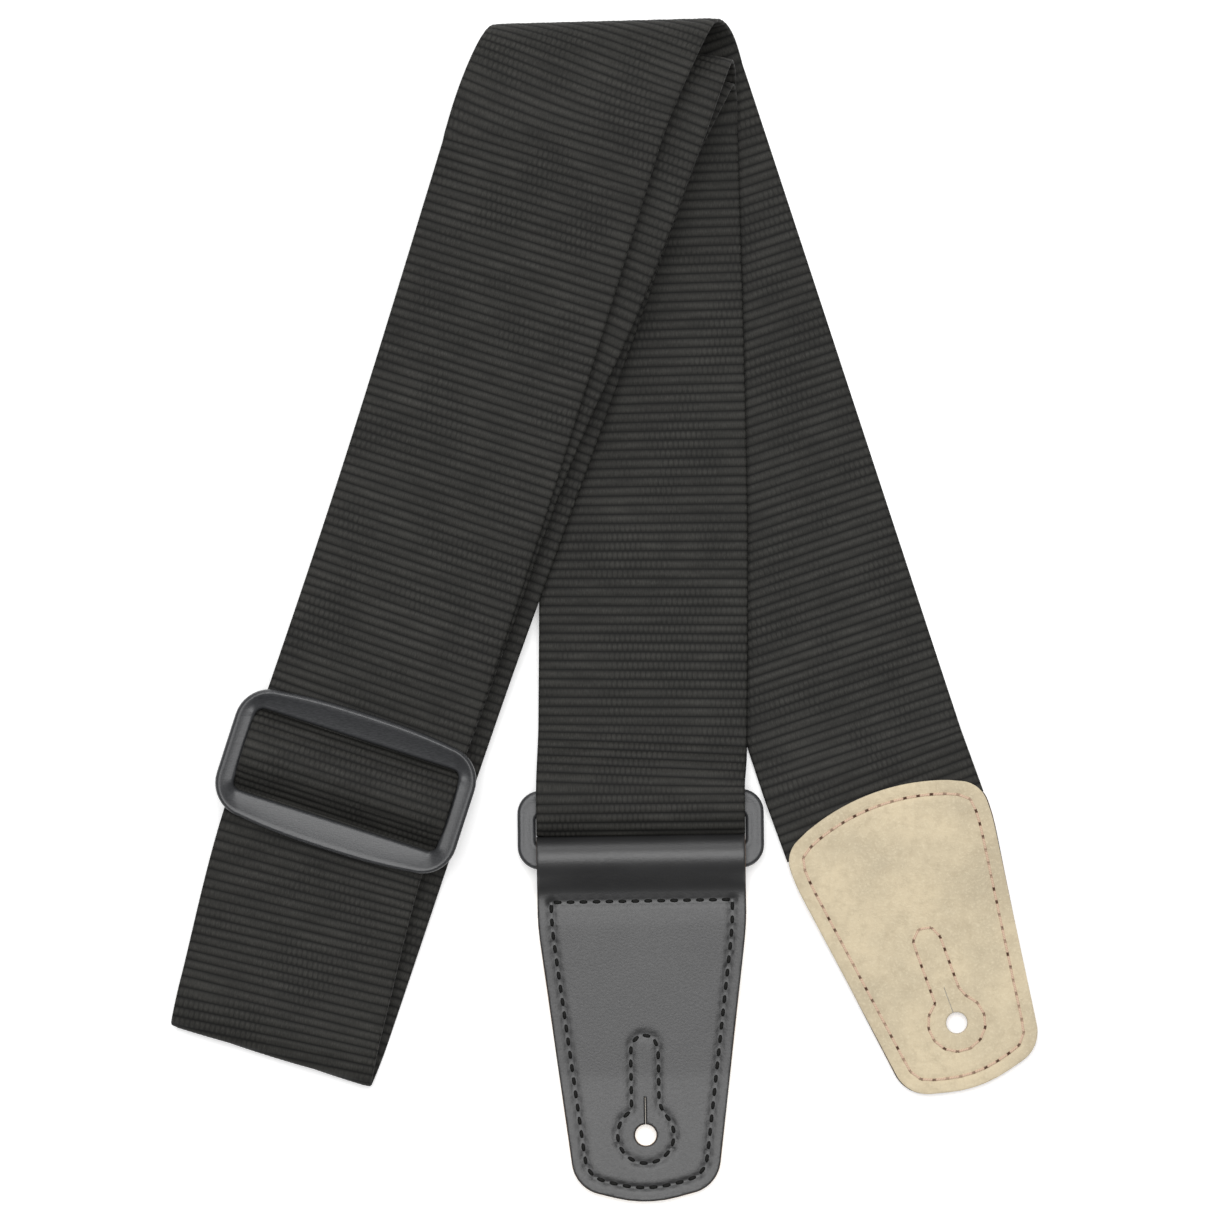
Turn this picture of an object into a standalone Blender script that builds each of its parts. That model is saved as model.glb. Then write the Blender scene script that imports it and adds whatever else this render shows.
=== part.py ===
"""A guitar strap folded up and laid flat: one long webbing, a three-bar slider, a ring and two leather tabs.

All sizes are in millimetres in a plan layout (+X right, +Y towards the top folds, +Z up from the
surface that the strap lies on). place() and mesh vertices turn them into metres about the origin.
"""

import math

import bmesh
import bpy
from mathutils import Matrix, Vector

MM = 0.001
COLLECTION = "guitar_strap"
ORIGIN = Vector((-0.145, 0.0, 0.0))  # plan point under the middle of the object's box

# webbing
WEB_HALF = 25.0          # half of the 50 mm width
WEB_THICK = 1.3
NODE_GAP = 0.3           # between two stretches of the webbing that meet end to end
Z_LAYER_1 = 0.65         # middle of the lowest layer
Z_LAYER_2 = 2.25
Z_LAYER_3 = 3.85
BLEND_LENGTH = 26.0      # over which the cross lines of a run turn to lie along a fold

# plan lines of the webbing's runs
FRONT_TOP = (-11.5, 115.0, 24.3)
FRONT_SHIFT = 0.7        # the front run leaves the slider this much further left than it enters
FRONT_BOTTOM = (-77.4, -95.0, 7.0)
RETURN_BOTTOM = (-75.3, -95.0, Z_LAYER_1)
RETURN_MIDDLE = ((-47.2, -12.0, 5.6), (-24.8, 50.0, 9.3))
RETURN_TOP = (-2.9, 112.0, 13.2)
SEWN_RUN_MIDDLE = ((-31.2, 44.0, 15.2), (-14.4, 82.0, 16.9))
SEWN_RUN_TOP = (-1.2, 117.0, 18.5)
RIGHT_TOP = (6.9, 130.5, Z_LAYER_1)
RIGHT_LEVEL_END = (56.95, -22.0, Z_LAYER_1)
INNER_END = (6.75, 118.5, Z_LAYER_3)
MIDDLE_END = (6.62, 125.0, Z_LAYER_2)
CENTRE_LEAN = 0.02       # how far the two centre runs drift right for each step down from their folds
CENTRE_MIDDLE_Y = 30.0
FRONT_LEVEL_END_Y = -27.0
BACK_LEVEL_END_Y = -33.0
CENTRE_SHIFT = 0.55      # how far right of the ring's middle they lie
WAIST_UP = 4.0           # where they close in on the ring's top bar, above its middle
FRONT_WAIST_DROP = 0.25
BACK_WAIST_RISE = 0.1

# folds: axis tilt in degrees, distance and height of the crest's centreline
OUTER_FOLD = (1.5, 140.2, 12.3)
MIDDLE_FOLD = (-8.85, 132.2, 10.3)
INNER_FOLD = (-8.85, 125.9, 8.5)
LOWER_FOLD = (-17.2, 125.2, 3.6)

# slider
SLIDER_AT = (-61.8, -40.8, 11.47)      # on the middle of the front run
FRONT_YAW = math.radians(-17.9)        # direction of the front run in plan, from +Y
FRONT_PITCH = math.radians(4.49)       # its rise towards the top
SLIDER_WIDE = 60.0
SLIDER_TALL = 34.1
SLIDER_BULGE = 1.25                    # how much taller the rims are at the middle than at the ends
SLIDER_CORNER = 8.5
SLIDER_THICK = 3.0
SLIDER_BOTTOM = 0.95                   # above the middle of the webbing that passes under the rims
WINDOW_WIDE = 51.0
WINDOW_TALL = 20.4
WINDOW_CORNER = 2.0
WINDOW_SHIFT = 0.35
BAR_RADIUS = 1.47
BAR_SUNK = 2.0                         # how far its ends run into the side bars
BAR_Z = SLIDER_BOTTOM + SLIDER_THICK / 2
LOOP_RADIUS = 2.4                      # middle of the sewn loop round the bar
PASS_RADIUS = 3.95                     # middle of the webbing that passes over that loop
PASS_BEND = 9.9                        # half the distance between the bends under the rims
SEWN_LEVEL = -1.5                      # the sewn run under the front run
TAIL_LEVEL = -3.0                      # the doubled tail under the sewn run
TAIL_ANGLE = math.radians(20.0)
SEWN_LENGTH = 46.0
TAIL_LENGTH = 44.0
STITCH_BOX = (42.0, 22.0, 29.0)        # width, height, and distance of its middle from the slider's
PASS_HALF = 24.4                       # the webbing draws in a little between the side bars
PASS_TOP = 17.0
PASS_BOTTOM = -17.4
MOULDED_EDGE = 0.6                     # the chamfer on the slider's and the ring's edges

# ring
RING_X = 8.6
RING_TOP_BAR_Y = -46.05
RING_BAR_Z = 5.3
RING_YAW = math.radians(0.6)
RING_WIDE = 59.0
RING_TALL = 18.9
RING_CORNER = 5.5
RING_THICK = 3.0
RING_BAR = 6.0
SLOT_WIDE = 50.8
SLOT_CORNER = 1.0
TURN_RADIUS = 4.4                      # middle of the webbing round the ring's top bar
RING_BAR_PITCH = RING_TALL - RING_BAR

# tabs, in their own frame: origin at the button hole, +Y towards the webbing, Z from the surface
LEATHER = 1.6
TAB_B_YAW = math.radians(0.4)          # on the ring
TAB_B_REACH = 66.85                    # from the ring's lower bar to the hole
TAB_A_HOLE = (84.4, -98.9)
TAB_A_YAW = math.radians(20.0)
TAB_A_REACH = 63.0                     # from the bend line in the webbing to the hole
FLEX_HALF = 3.0
TAB_HALF = 25.0
TAB_B_SHOULDER = (50.5, 60.0)          # where the sides start to taper, and the radius there
TAB_A_SHOULDER = (44.0, 40.0)
TIP_CORNER = (17.1, -12.5)
TIP_CORNER_RADIUS = 8.5
TIP_POINT_Y = -16.9
TIP_RADIUS = 30.0
ARCH_TOP_Y = 58.7
ARCH_RADIUS = 52.0
ARCH_CORNER = 7.0
TAB_ARC_STEP = 12.0                    # degrees
SEAM_Y = 56.2                          # the cross seam of tab B
BACK_TOP_Y = 58.2                      # the end of tab B's suede back
HOLE_RADIUS = 3.0
SLIT_HALF = 0.2
SLIT_TOP_Y = 9.0
KEYHOLE_RADIUS = 6.9
KEYHOLE_NECK = 3.3
KEYHOLE_TOP_Y = 24.3
STITCH_INSET = 3.3
THREAD_WIDE = 0.8
THREAD_THICK = 0.42
GROOVE_WIDE = 1.4
GROOVE_DEEP = 0.6
THREAD_SUNK = 0.08                     # the thread's top below the leather's face
FACE_SLIP = math.radians(-0.6)         # tab A's face leather sits a little askew on its back
FACE_SLIP_Y = 20.0
ROLL_RADIUS = 4.5                      # middle of the leather round the ring's lower bar
BELOW_TIP_Y = -20.0
TAB_B_RISE = (30.0, 50.0, 57.0)        # its face leaves the back, is level on the tail, and leaves the tail
TAB_B_TAIL = (60.5, 52.5)              # the tail comes level on the back, and its end
CREST_EASE = 5.2                       # handles of the curves up to the ring's bar and back down from it
TAIL_EASE = 2.7
TAB_A_RISE = (26.0, 39.0)              # its back starts to rise over the webbing's end, and is level on it
ABOVE_ARCH_Y = 70.0
WEB_END_SIDE_Y = -15.5                 # the webbing's end inside tab A, measured from the bend line
WEB_END_CORNER = (24.0, -22.0)

BLACK_WEB = ((0.040, 0.039, 0.035, 1.0), 0.78)
BLACK_PLASTIC = ((0.105, 0.107, 0.110, 1.0), 0.42)
BLACK_LEATHER = ((0.060, 0.060, 0.062, 1.0), 0.45)
SUEDE = ((0.610, 0.510, 0.360, 1.0), 0.95)
BLACK_THREAD = ((0.020, 0.020, 0.020, 1.0), 0.70)
TAN_THREAD = ((0.520, 0.330, 0.240, 1.0), 0.75)


def clear_scene():
    for old in list(bpy.data.objects):
        bpy.data.objects.remove(old, do_unlink=True)


def make_collection(name):
    made = bpy.data.collections.new(name)
    bpy.context.scene.collection.children.link(made)
    return made


def place(x, y, z):
    """A plan point as world metres about the object's origin."""
    return (Vector((x, y, z)) - ORIGIN) * MM


def material(name, look):
    """One Principled material from a colour and a roughness; nothing on the strap is metal."""
    made = bpy.data.materials.new(name)
    made.use_nodes = True
    shader = made.node_tree.nodes["Principled BSDF"]
    colour, roughness = look
    shader.inputs["Base Color"].default_value = colour
    shader.inputs["Roughness"].default_value = roughness
    shader.inputs["Metallic"].default_value = 0.0
    made.diffuse_color = colour
    return made


def add(name, mesh, look, parent=None, location=(0.0, 0.0, 0.0)):
    """Links a finished mesh as a named part with its own material."""
    obj = bpy.data.objects.new(name, mesh)
    parts.objects.link(obj)
    mesh.materials.clear()
    mesh.materials.append(material(name, look))
    obj.parent = parent
    obj.location = Vector(location) * MM
    return obj


def pivot(name, at, yaw=0.0, pitch=0.0, parent=None):
    """An empty on a joint's axis, which the pieces of a moving body are parented to."""
    empty = bpy.data.objects.new(name, None)
    parts.objects.link(empty)
    turn = Matrix.Rotation(yaw, 4, "Z") @ Matrix.Rotation(pitch, 4, "X")
    if parent is None:
        empty.matrix_world = Matrix.Translation(place(*at)) @ turn
    else:
        empty.parent = parent
        empty.matrix_local = Matrix.Translation(Vector(at) * MM) @ turn
    return empty


# ---------------------------------------------------------------- webbing


def bezier(a, b, c, d, count):
    """Points of a cubic curve from a to d, without the first one."""
    points = []
    for i in range(1, count + 1):
        t = i / count
        points.append(a * (1 - t) ** 3 + b * 3 * t * (1 - t) ** 2 + c * 3 * t * t * (1 - t) + d * t**3)
    return points


def headings(keys):
    """The direction of a smooth line at each key. It levels out where the height stops changing."""
    found = []
    for i, here in enumerate(keys):
        before, after = keys[max(i - 1, 0)], keys[min(i + 1, len(keys) - 1)]
        slopes = [(b.z - a.z) / (b - a).length for a, b in ((before, here), (here, after)) if a != b]
        rise = 2 * slopes[0] * slopes[-1] / (slopes[0] + slopes[-1]) if slopes[0] * slopes[-1] > 0 else 0.0
        level = Vector((after.x - before.x, after.y - before.y, 0.0)).normalized()
        found.append(level + Vector((0.0, 0.0, rise)))
    return found


def smooth_line(keys, spacing):
    """Points on a smooth line through the keys, about one spacing apart."""
    keys = [Vector(k) for k in keys]
    toward = headings(keys)
    points = [keys[0]]
    for i, (a, b) in enumerate(zip(keys, keys[1:])):
        reach = (b - a).length / 3
        leave, arrive = a + toward[i] * reach, b - toward[i + 1] * reach
        points += bezier(a, leave, arrive, b, max(1, round((b - a).length / spacing)))
    return points


def run(keys, first_axis=None, last_axis=None, spacing=12.0):
    """Stations (point, cross line) along a run. Cross lines are square to it, or turn to a fold's axis."""
    points = smooth_line(keys, spacing)
    walked = [0.0]
    for a, b in zip(points, points[1:]):
        walked.append(walked[-1] + (b - a).length)
    stations = []
    for i, point in enumerate(points):
        ahead = points[min(i + 1, len(points) - 1)] - points[max(i - 1, 0)]
        across = Vector((ahead.y, -ahead.x, 0.0)).normalized()
        for axis, distance in ((first_axis, walked[i]), (last_axis, walked[-1] - walked[i])):
            if axis is not None and distance < BLEND_LENGTH:
                share = 1 - distance / BLEND_LENGTH
                side = axis if axis.dot(across) > 0 else -axis
                across = across.lerp(side, share).normalized()
        stations.append((point, cross_line(ahead, across)))
    return stations


def cross_line(ahead, across):
    """The half cross line that keeps the webbing's width where it isn't square to the run."""
    slant = ahead.normalized().cross(across).length
    return across * (WEB_HALF / slant)


def fold_axis(tilt):
    turn = math.radians(tilt)
    return Vector((math.cos(turn), math.sin(turn), 0.0))


def fold(start, leave, end, arrive, shape, outward=1.0, count=9):
    """Stations round a fold from one run's end to the next run's start. leave and arrive are the runs' slopes
    along the fold's axis, and shape is the axis tilt, and the crest's distance and height."""
    tilt, crest, height = shape
    axis = fold_axis(tilt)
    out = Vector((-axis.y, axis.x, 0.0)) * outward
    start, end = Vector(start), Vector(end)
    a, b, c = Vector((start.dot(out), start.z)), Vector((crest, height)), Vector((end.dot(out), end.z))
    round_off = 0.5523
    over, under = Vector((b.x, a.y)), Vector((b.x, c.y))
    points = [a]
    points += bezier(a, a.lerp(over, round_off), b.lerp(over, round_off), b, count)
    points += bezier(b, b.lerp(under, round_off), c.lerp(under, round_off), c, count)
    walked = [0.0]
    for p, q in zip(points, points[1:]):
        walked.append(walked[-1] + (q - p).length)
    whole = walked[-1]
    first, last = start.dot(axis), end.dot(axis)
    centre = []
    for point, distance in zip(points, walked):
        t = distance / whole
        along = (
            first * (2 * t**3 - 3 * t * t + 1)
            + leave * whole * (t**3 - 2 * t * t + t)
            + last * (3 * t * t - 2 * t**3)
            + arrive * whole * (t**3 - t * t)
        )
        centre.append(axis * along + out * point.x + Vector((0.0, 0.0, point.y)))
    stations = []
    for i, point in enumerate(centre):
        ahead = centre[min(i + 1, len(centre) - 1)] - centre[max(i - 1, 0)]
        stations.append((point, cross_line(ahead, axis)))
    return stations


def slope_along(direction, shape, outward=1.0):
    """How far a run drifts along a fold's axis for each step square to it."""
    axis = fold_axis(shape[0])
    out = Vector((-axis.y, axis.x, 0.0)) * outward
    return direction.dot(axis) / abs(direction.dot(out))


def trim(stations, start=0.0, end=0.0):
    """Moves the first and last station inwards, to leave a gap to the next stretch."""
    stations = list(stations)
    for first, second, by in ((0, 1, start), (-1, -2, end)):
        (p, g), (q, h) = stations[first], stations[second]
        share = by / (q - p).length
        stations[first] = (p.lerp(q, share), g.lerp(h, share))
    return stations


def strip(name, stations, thick, look, parent=None, world=True):
    """A strip through the stations, given its thickness by Solidify."""
    bm = bmesh.new()
    rows = []
    for point, across in stations:
        ends = (point - across, point + across)
        if world:
            ends = [place(*p) for p in ends]
        else:
            ends = [p * MM for p in ends]
        rows.append([bm.verts.new(p) for p in ends])
    for (a, b), (c, d) in zip(rows, rows[1:]):
        bm.faces.new((a, b, d, c))
    bmesh.ops.recalc_face_normals(bm, faces=bm.faces)
    mesh = bpy.data.meshes.new(name)
    bm.to_mesh(mesh)
    bm.free()
    mesh.shade_smooth()
    obj = add(name, mesh, look, parent)
    shell = obj.modifiers.new("thickness", "SOLIDIFY")
    shell.thickness = thick * MM
    shell.offset = 0.0
    shell.use_even_offset = True
    return obj


def webbing_runs():
    """The stretches of the one long webbing that lie still, from the right tab to the slider."""
    gap = NODE_GAP / 2
    front_dir = Vector((math.sin(-FRONT_YAW), math.cos(FRONT_YAW), 0.0))
    right_dir = (Vector(RIGHT_LEVEL_END) - Vector(RIGHT_TOP)).normalized()
    slider = Vector(SLIDER_AT)
    along = Vector((front_dir.x, front_dir.y, math.tan(FRONT_PITCH))).normalized()
    across = Vector((front_dir.y, -front_dir.x, 0.0))
    above = across.cross(along)
    bend = tab_a_frame @ Vector((0.0, TAB_A_REACH, 0.0))
    tab_up = tab_a_frame.to_3x3() @ Vector((0.0, 1.0, 0.0))
    tab_web_z = LEATHER + NODE_GAP + WEB_THICK / 2
    flex_top = Vector((bend.x, bend.y, tab_web_z)) + tab_up * FLEX_HALF
    flex_bottom = Vector((bend.x, bend.y, tab_web_z)) - tab_up * FLEX_HALF
    square_to_tab = tab_a_frame.to_3x3() @ Vector((1.0, 0.0, 0.0))
    axis = {
        "outer": fold_axis(OUTER_FOLD[0]),
        "middle": fold_axis(MIDDLE_FOLD[0]),
        "inner": fold_axis(INNER_FOLD[0]),
        "lower": fold_axis(LOWER_FOLD[0]),
    }

    right = run([RIGHT_TOP, RIGHT_LEVEL_END, flex_top], first_axis=axis["outer"], last_axis=square_to_tab)
    web("webbing_right_run", trim(right, gap, gap))
    web("webbing_tab_flex", trim(run([flex_top, flex_bottom], spacing=2.0), gap, gap))

    outer = fold(
        FRONT_TOP,
        slope_along(front_dir, OUTER_FOLD),
        RIGHT_TOP,
        slope_along(right_dir, OUTER_FOLD),
        OUTER_FOLD,
    )
    web("webbing_outer_fold", trim(outer, gap, gap))

    front_end = slider + along * (PASS_TOP + NODE_GAP)
    web("webbing_front_upper", trim(run([front_end, FRONT_TOP], last_axis=axis["outer"]), 0.0, gap))
    bottom_start = slider + along * (PASS_BOTTOM - NODE_GAP) - across * FRONT_SHIFT
    lower = run([bottom_start, FRONT_BOTTOM], first_axis=across, last_axis=axis["lower"])
    web("webbing_front_lower", trim(lower, 0.0, gap))

    lower_in = (Vector(FRONT_BOTTOM) - bottom_start).normalized()
    lower_out = (Vector(RETURN_MIDDLE[0]) - Vector(RETURN_BOTTOM)).normalized()
    bottom = fold(
        FRONT_BOTTOM,
        slope_along(lower_in, LOWER_FOLD, -1.0),
        RETURN_BOTTOM,
        slope_along(lower_out, LOWER_FOLD, -1.0),
        LOWER_FOLD,
        outward=-1.0,
        count=6,
    )
    web("webbing_lower_fold", trim(bottom, gap, gap))
    back = run([RETURN_BOTTOM, *RETURN_MIDDLE, RETURN_TOP], axis["lower"], axis["inner"], spacing=16.0)
    web("webbing_return_run", trim(back, gap, gap))

    down = Vector((CENTRE_LEAN, -1.0, 0.0)).normalized()
    return_dir = (Vector(RETURN_TOP) - Vector(RETURN_MIDDLE[1])).normalized()
    sewn_dir = (Vector(SEWN_RUN_TOP) - Vector(SEWN_RUN_MIDDLE[1])).normalized()
    inner = fold(
        RETURN_TOP,
        slope_along(return_dir, INNER_FOLD),
        INNER_END,
        slope_along(down, INNER_FOLD),
        INNER_FOLD,
        count=6,
    )
    web("webbing_inner_fold", trim(inner, gap, gap))
    middle = fold(
        SEWN_RUN_TOP,
        slope_along(sewn_dir, MIDDLE_FOLD),
        MIDDLE_END,
        slope_along(down, MIDDLE_FOLD),
        MIDDLE_FOLD,
        count=7,
    )
    web("webbing_middle_fold", trim(middle, gap, gap))

    turn_top = (RING_X, RING_TOP_BAR_Y, RING_BAR_Z + TURN_RADIUS)
    turn_bottom = (RING_X, RING_TOP_BAR_Y, RING_BAR_Z - TURN_RADIUS)
    level_x = RING_X + CENTRE_SHIFT
    waist_y = RING_TOP_BAR_Y + WAIST_UP
    front_keys = [INNER_END, (level_x, CENTRE_MIDDLE_Y, Z_LAYER_3), (level_x, FRONT_LEVEL_END_Y, Z_LAYER_3)]
    front_keys += [(RING_X, waist_y, turn_top[2] - FRONT_WAIST_DROP), turn_top]
    back_keys = [MIDDLE_END, (level_x, CENTRE_MIDDLE_Y, Z_LAYER_2), (level_x, BACK_LEVEL_END_Y, Z_LAYER_2)]
    back_keys += [(RING_X, waist_y, turn_bottom[2] + BACK_WAIST_RISE), turn_bottom]
    ring_axis = fold_axis(math.degrees(RING_YAW))
    web("webbing_centre_front", trim(run(front_keys, axis["inner"], ring_axis, spacing=4.0), gap, gap))
    web("webbing_centre_back", trim(run(back_keys, axis["middle"], ring_axis, spacing=4.0), gap, gap))
    web("webbing_ring_turn", trim(ring_turn(), gap, gap))

    sewn_start = slider + along * (SEWN_LENGTH + NODE_GAP) + above * SEWN_LEVEL
    sewn = run([sewn_start, *SEWN_RUN_MIDDLE, SEWN_RUN_TOP], across, axis["middle"], spacing=16.0)
    web("webbing_sewn_run", trim(sewn, 0.0, gap))


def web(name, stations):
    return strip(name, stations, WEB_THICK, BLACK_WEB)


def ring_turn(count=12):
    """Stations half way round the ring's top bar, from its top to its underside."""
    axis = fold_axis(math.degrees(RING_YAW))
    down = Vector((axis.y, -axis.x, 0.0))
    bar = Vector((RING_X, RING_TOP_BAR_Y, RING_BAR_Z))
    stations = []
    for i in range(count + 1):
        turn = math.pi * i / count
        offset = down * math.sin(turn) + Vector((0.0, 0.0, math.cos(turn)))
        stations.append((bar + offset * TURN_RADIUS, axis * WEB_HALF))
    return stations


# ---------------------------------------------------------------- slider


def rounded(corners, arc_step=15.0):
    """An outline from corners (x, y, radius), with an arc at each corner that has a radius."""
    outline = []
    for i, (x, y, radius) in enumerate(corners):
        here = Vector((x, y))
        before = (Vector(corners[i - 1][:2]) - here).normalized()
        after = (Vector(corners[(i + 1) % len(corners)][:2]) - here).normalized()
        if radius <= 0:
            outline.append(here)
            continue
        half = before.angle(after) / 2
        centre = here + (before + after).normalized() * (radius / math.sin(half))
        first = here + before * (radius / math.tan(half)) - centre
        sweep = first.angle_signed(here + after * (radius / math.tan(half)) - centre)
        count = max(2, math.ceil(abs(math.degrees(sweep)) / arc_step))
        for k in range(count + 1):
            turn = -sweep * k / count
            c, s = math.cos(turn), math.sin(turn)
            outline.append(centre + Vector((first.x * c - first.y * s, first.x * s + first.y * c)))
    return outline


def plate(name, outlines, low, high):
    """A mesh plate from a filled 2D curve: the first outline is its edge and the others are holes in it."""
    curve = bpy.data.curves.new(name, "CURVE")
    curve.dimensions = "2D"
    curve.fill_mode = "BOTH"
    curve.extrude = (high - low) / 2 * MM
    for outline in outlines:
        spline = curve.splines.new("POLY")
        spline.points.add(len(outline) - 1)
        for point, corner in zip(spline.points, outline):
            point.co = (corner[0] * MM, corner[1] * MM, 0.0, 1.0)
        spline.use_cyclic_u = True
    flat = bpy.data.objects.new(name, curve)
    cutters.objects.link(flat)
    seen = flat.evaluated_get(bpy.context.evaluated_depsgraph_get())
    mesh = bpy.data.meshes.new_from_object(seen)
    bpy.data.objects.remove(flat, do_unlink=True)
    bm = bmesh.new()
    bm.from_mesh(mesh)
    bmesh.ops.remove_doubles(bm, verts=bm.verts, dist=0.0001 * MM)
    bmesh.ops.translate(bm, verts=bm.verts, vec=(0.0, 0.0, (low + high) / 2 * MM))
    bmesh.ops.recalc_face_normals(bm, faces=bm.faces)
    bm.to_mesh(mesh)
    bm.free()
    mesh.name = name
    return mesh


def cutter(name, mesh, parent=None):
    """A hidden object that a Boolean modifier uses."""
    obj = bpy.data.objects.new(name, mesh)
    cutters.objects.link(obj)
    obj.parent = parent
    obj.hide_render = True
    obj.display_type = "WIRE"
    return obj


def combine(target, tool, operation):
    step = target.modifiers.new(tool.name, "BOOLEAN")
    step.operation = operation
    step.solver = "EXACT"
    step.object = tool


def soften(obj):
    edge = obj.modifiers.new("soft_edges", "BEVEL")
    edge.width = MOULDED_EDGE * MM
    edge.segments = 1
    edge.limit_method = "ANGLE"
    edge.angle_limit = math.radians(40.0)


def barrel_outline():
    """The slider's outline: long sides that bulge, and large corners."""
    half = SLIDER_WIDE / 2
    end = SLIDER_TALL / 2 - SLIDER_BULGE
    top = [(x, end + SLIDER_BULGE * (1 - (x / half) ** 2)) for x in (18.0, 9.0, 0.0, -9.0, -18.0)]
    corners = [(half, end, SLIDER_CORNER)] + [(x, y, 0.0) for x, y in top]
    corners += [(-half, end, SLIDER_CORNER), (-half, -end, SLIDER_CORNER)]
    corners += [(-x, -y, 0.0) for x, y in top]
    corners += [(half, -end, SLIDER_CORNER)]
    return rounded(corners)


def box_outline(wide, tall, radius, shift_y=0.0, arc_step=22.5):
    x, y = wide / 2, tall / 2
    corners = [(x, y + shift_y, radius), (-x, y + shift_y, radius)]
    corners += [(-x, -y + shift_y, radius), (x, -y + shift_y, radius)]
    return rounded(corners, arc_step)


def slider_frame(parent):
    window = box_outline(WINDOW_WIDE, WINDOW_TALL, WINDOW_CORNER, WINDOW_SHIFT)
    low, high = SLIDER_BOTTOM, SLIDER_BOTTOM + SLIDER_THICK
    body = plate("slider_frame", [barrel_outline(), window], low, high)
    frame = add("slider_frame", body, BLACK_PLASTIC, parent)
    soften(frame)
    mesh = bpy.data.meshes.new("slider_bar")
    bm = bmesh.new()
    turn = Matrix.Rotation(math.pi / 2, 4, "Y")
    bmesh.ops.create_cone(
        bm,
        cap_ends=True,
        segments=16,
        radius1=BAR_RADIUS * MM,
        radius2=BAR_RADIUS * MM,
        depth=(WINDOW_WIDE + 2 * BAR_SUNK) * MM,
        matrix=Matrix.Translation((0.0, WINDOW_SHIFT * MM, BAR_Z * MM)) @ turn,
    )
    bm.to_mesh(mesh)
    bm.free()
    combine(frame, cutter("slider_bar", mesh, parent), "UNION")
    return frame


def slant(radius, bend_y, bend_z):
    """The angle of the line from a bend at the webbing's level up to a circle round the slider's bar."""
    across, rise = bend_y, BAR_Z - bend_z
    return math.atan2(rise, across) + math.asin(radius / math.hypot(across, rise))


def slider_stations(profile, half):
    """Stations square to the slider's own Y from a profile of (y, z)."""
    return [(Vector((0.0, y, z)), Vector((half, 0.0, 0.0))) for y, z in profile]


def arc(radius, first, last, count):
    """Points round the slider's bar between two angles, measured from the slider's +Y."""
    points = []
    for i in range(count + 1):
        turn = first + (last - first) * i / count
        points.append((WINDOW_SHIFT + radius * math.cos(turn), BAR_Z + radius * math.sin(turn)))
    return points


def slider_webbing(parent):
    """The webbing's hump over the bar, and its sewn end round the bar with the doubled tail."""
    rise = slant(PASS_RADIUS, PASS_BEND, 0.0)
    hump = [(PASS_TOP, 0.0), (WINDOW_SHIFT + PASS_BEND, 0.0)]
    hump += arc(PASS_RADIUS, math.pi / 2 - rise, math.pi / 2 + rise, 8)
    hump += [(WINDOW_SHIFT - PASS_BEND, 0.0), (PASS_BOTTOM, 0.0)]
    strip("webbing_slider_pass", slider_stations(hump, PASS_HALF), WEB_THICK, BLACK_WEB, parent, world=False)

    touch_y = WINDOW_SHIFT + LOOP_RADIUS * math.sin(rise)
    touch_z = BAR_Z + LOOP_RADIUS * math.cos(rise)
    landing = touch_y + (touch_z - SEWN_LEVEL) / math.tan(rise)
    tail_z = BAR_Z - LOOP_RADIUS * math.cos(TAIL_ANGLE)
    tail_y = WINDOW_SHIFT - LOOP_RADIUS * math.sin(TAIL_ANGLE) + (tail_z - TAIL_LEVEL) / math.tan(TAIL_ANGLE)
    loop = [(SEWN_LENGTH, SEWN_LEVEL), (landing, SEWN_LEVEL)]
    loop += arc(LOOP_RADIUS, math.pi / 2 - rise, 3 * math.pi / 2 - TAIL_ANGLE, 14)
    loop += [(tail_y, TAIL_LEVEL), (TAIL_LENGTH, TAIL_LEVEL)]
    strip("webbing_sewn_end", slider_stations(loop, WEB_HALF), WEB_THICK, BLACK_WEB, parent, world=False)

    top = TAIL_LEVEL - WEB_THICK / 2 - THREAD_SUNK
    wide, tall, middle = STITCH_BOX
    box = [box_outline(wide - less, tall - less, 0.0, middle) for less in (0.0, 2 * THREAD_WIDE)]
    add("sewn_end_stitching", plate("sewn_end_stitching", box, top - THREAD_THICK, top), BLACK_THREAD, parent)


# ---------------------------------------------------------------- ring


def ring(parent):
    """The flat rectangular ring, lying below its own top bar's axis."""
    centre = -RING_BAR_PITCH / 2
    outer = box_outline(RING_WIDE, RING_TALL, RING_CORNER, centre)
    slot = box_outline(SLOT_WIDE, RING_TALL - 2 * RING_BAR, SLOT_CORNER, centre)
    made = add("ring", plate("ring", [outer, slot], -RING_THICK / 2, RING_THICK / 2), BLACK_PLASTIC, parent)
    soften(made)


# ---------------------------------------------------------------- leather tabs


def tip_corners(shoulder):
    """The tapered sides and the rounded tip, from the left shoulder round to the right one."""
    x, y = TIP_CORNER
    return [
        (-TAB_HALF, *shoulder),
        (-x, y, TIP_CORNER_RADIUS),
        (0.0, TIP_POINT_Y, TIP_RADIUS),
        (x, y, TIP_CORNER_RADIUS),
        (TAB_HALF, *shoulder),
    ]


def square_outline(top_y):
    """Tab B, which goes on straight to top_y."""
    top = [(TAB_HALF, top_y, 0.0), (-TAB_HALF, top_y, 0.0)]
    return rounded(tip_corners(TAB_B_SHOULDER) + top, TAB_ARC_STEP)


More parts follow.
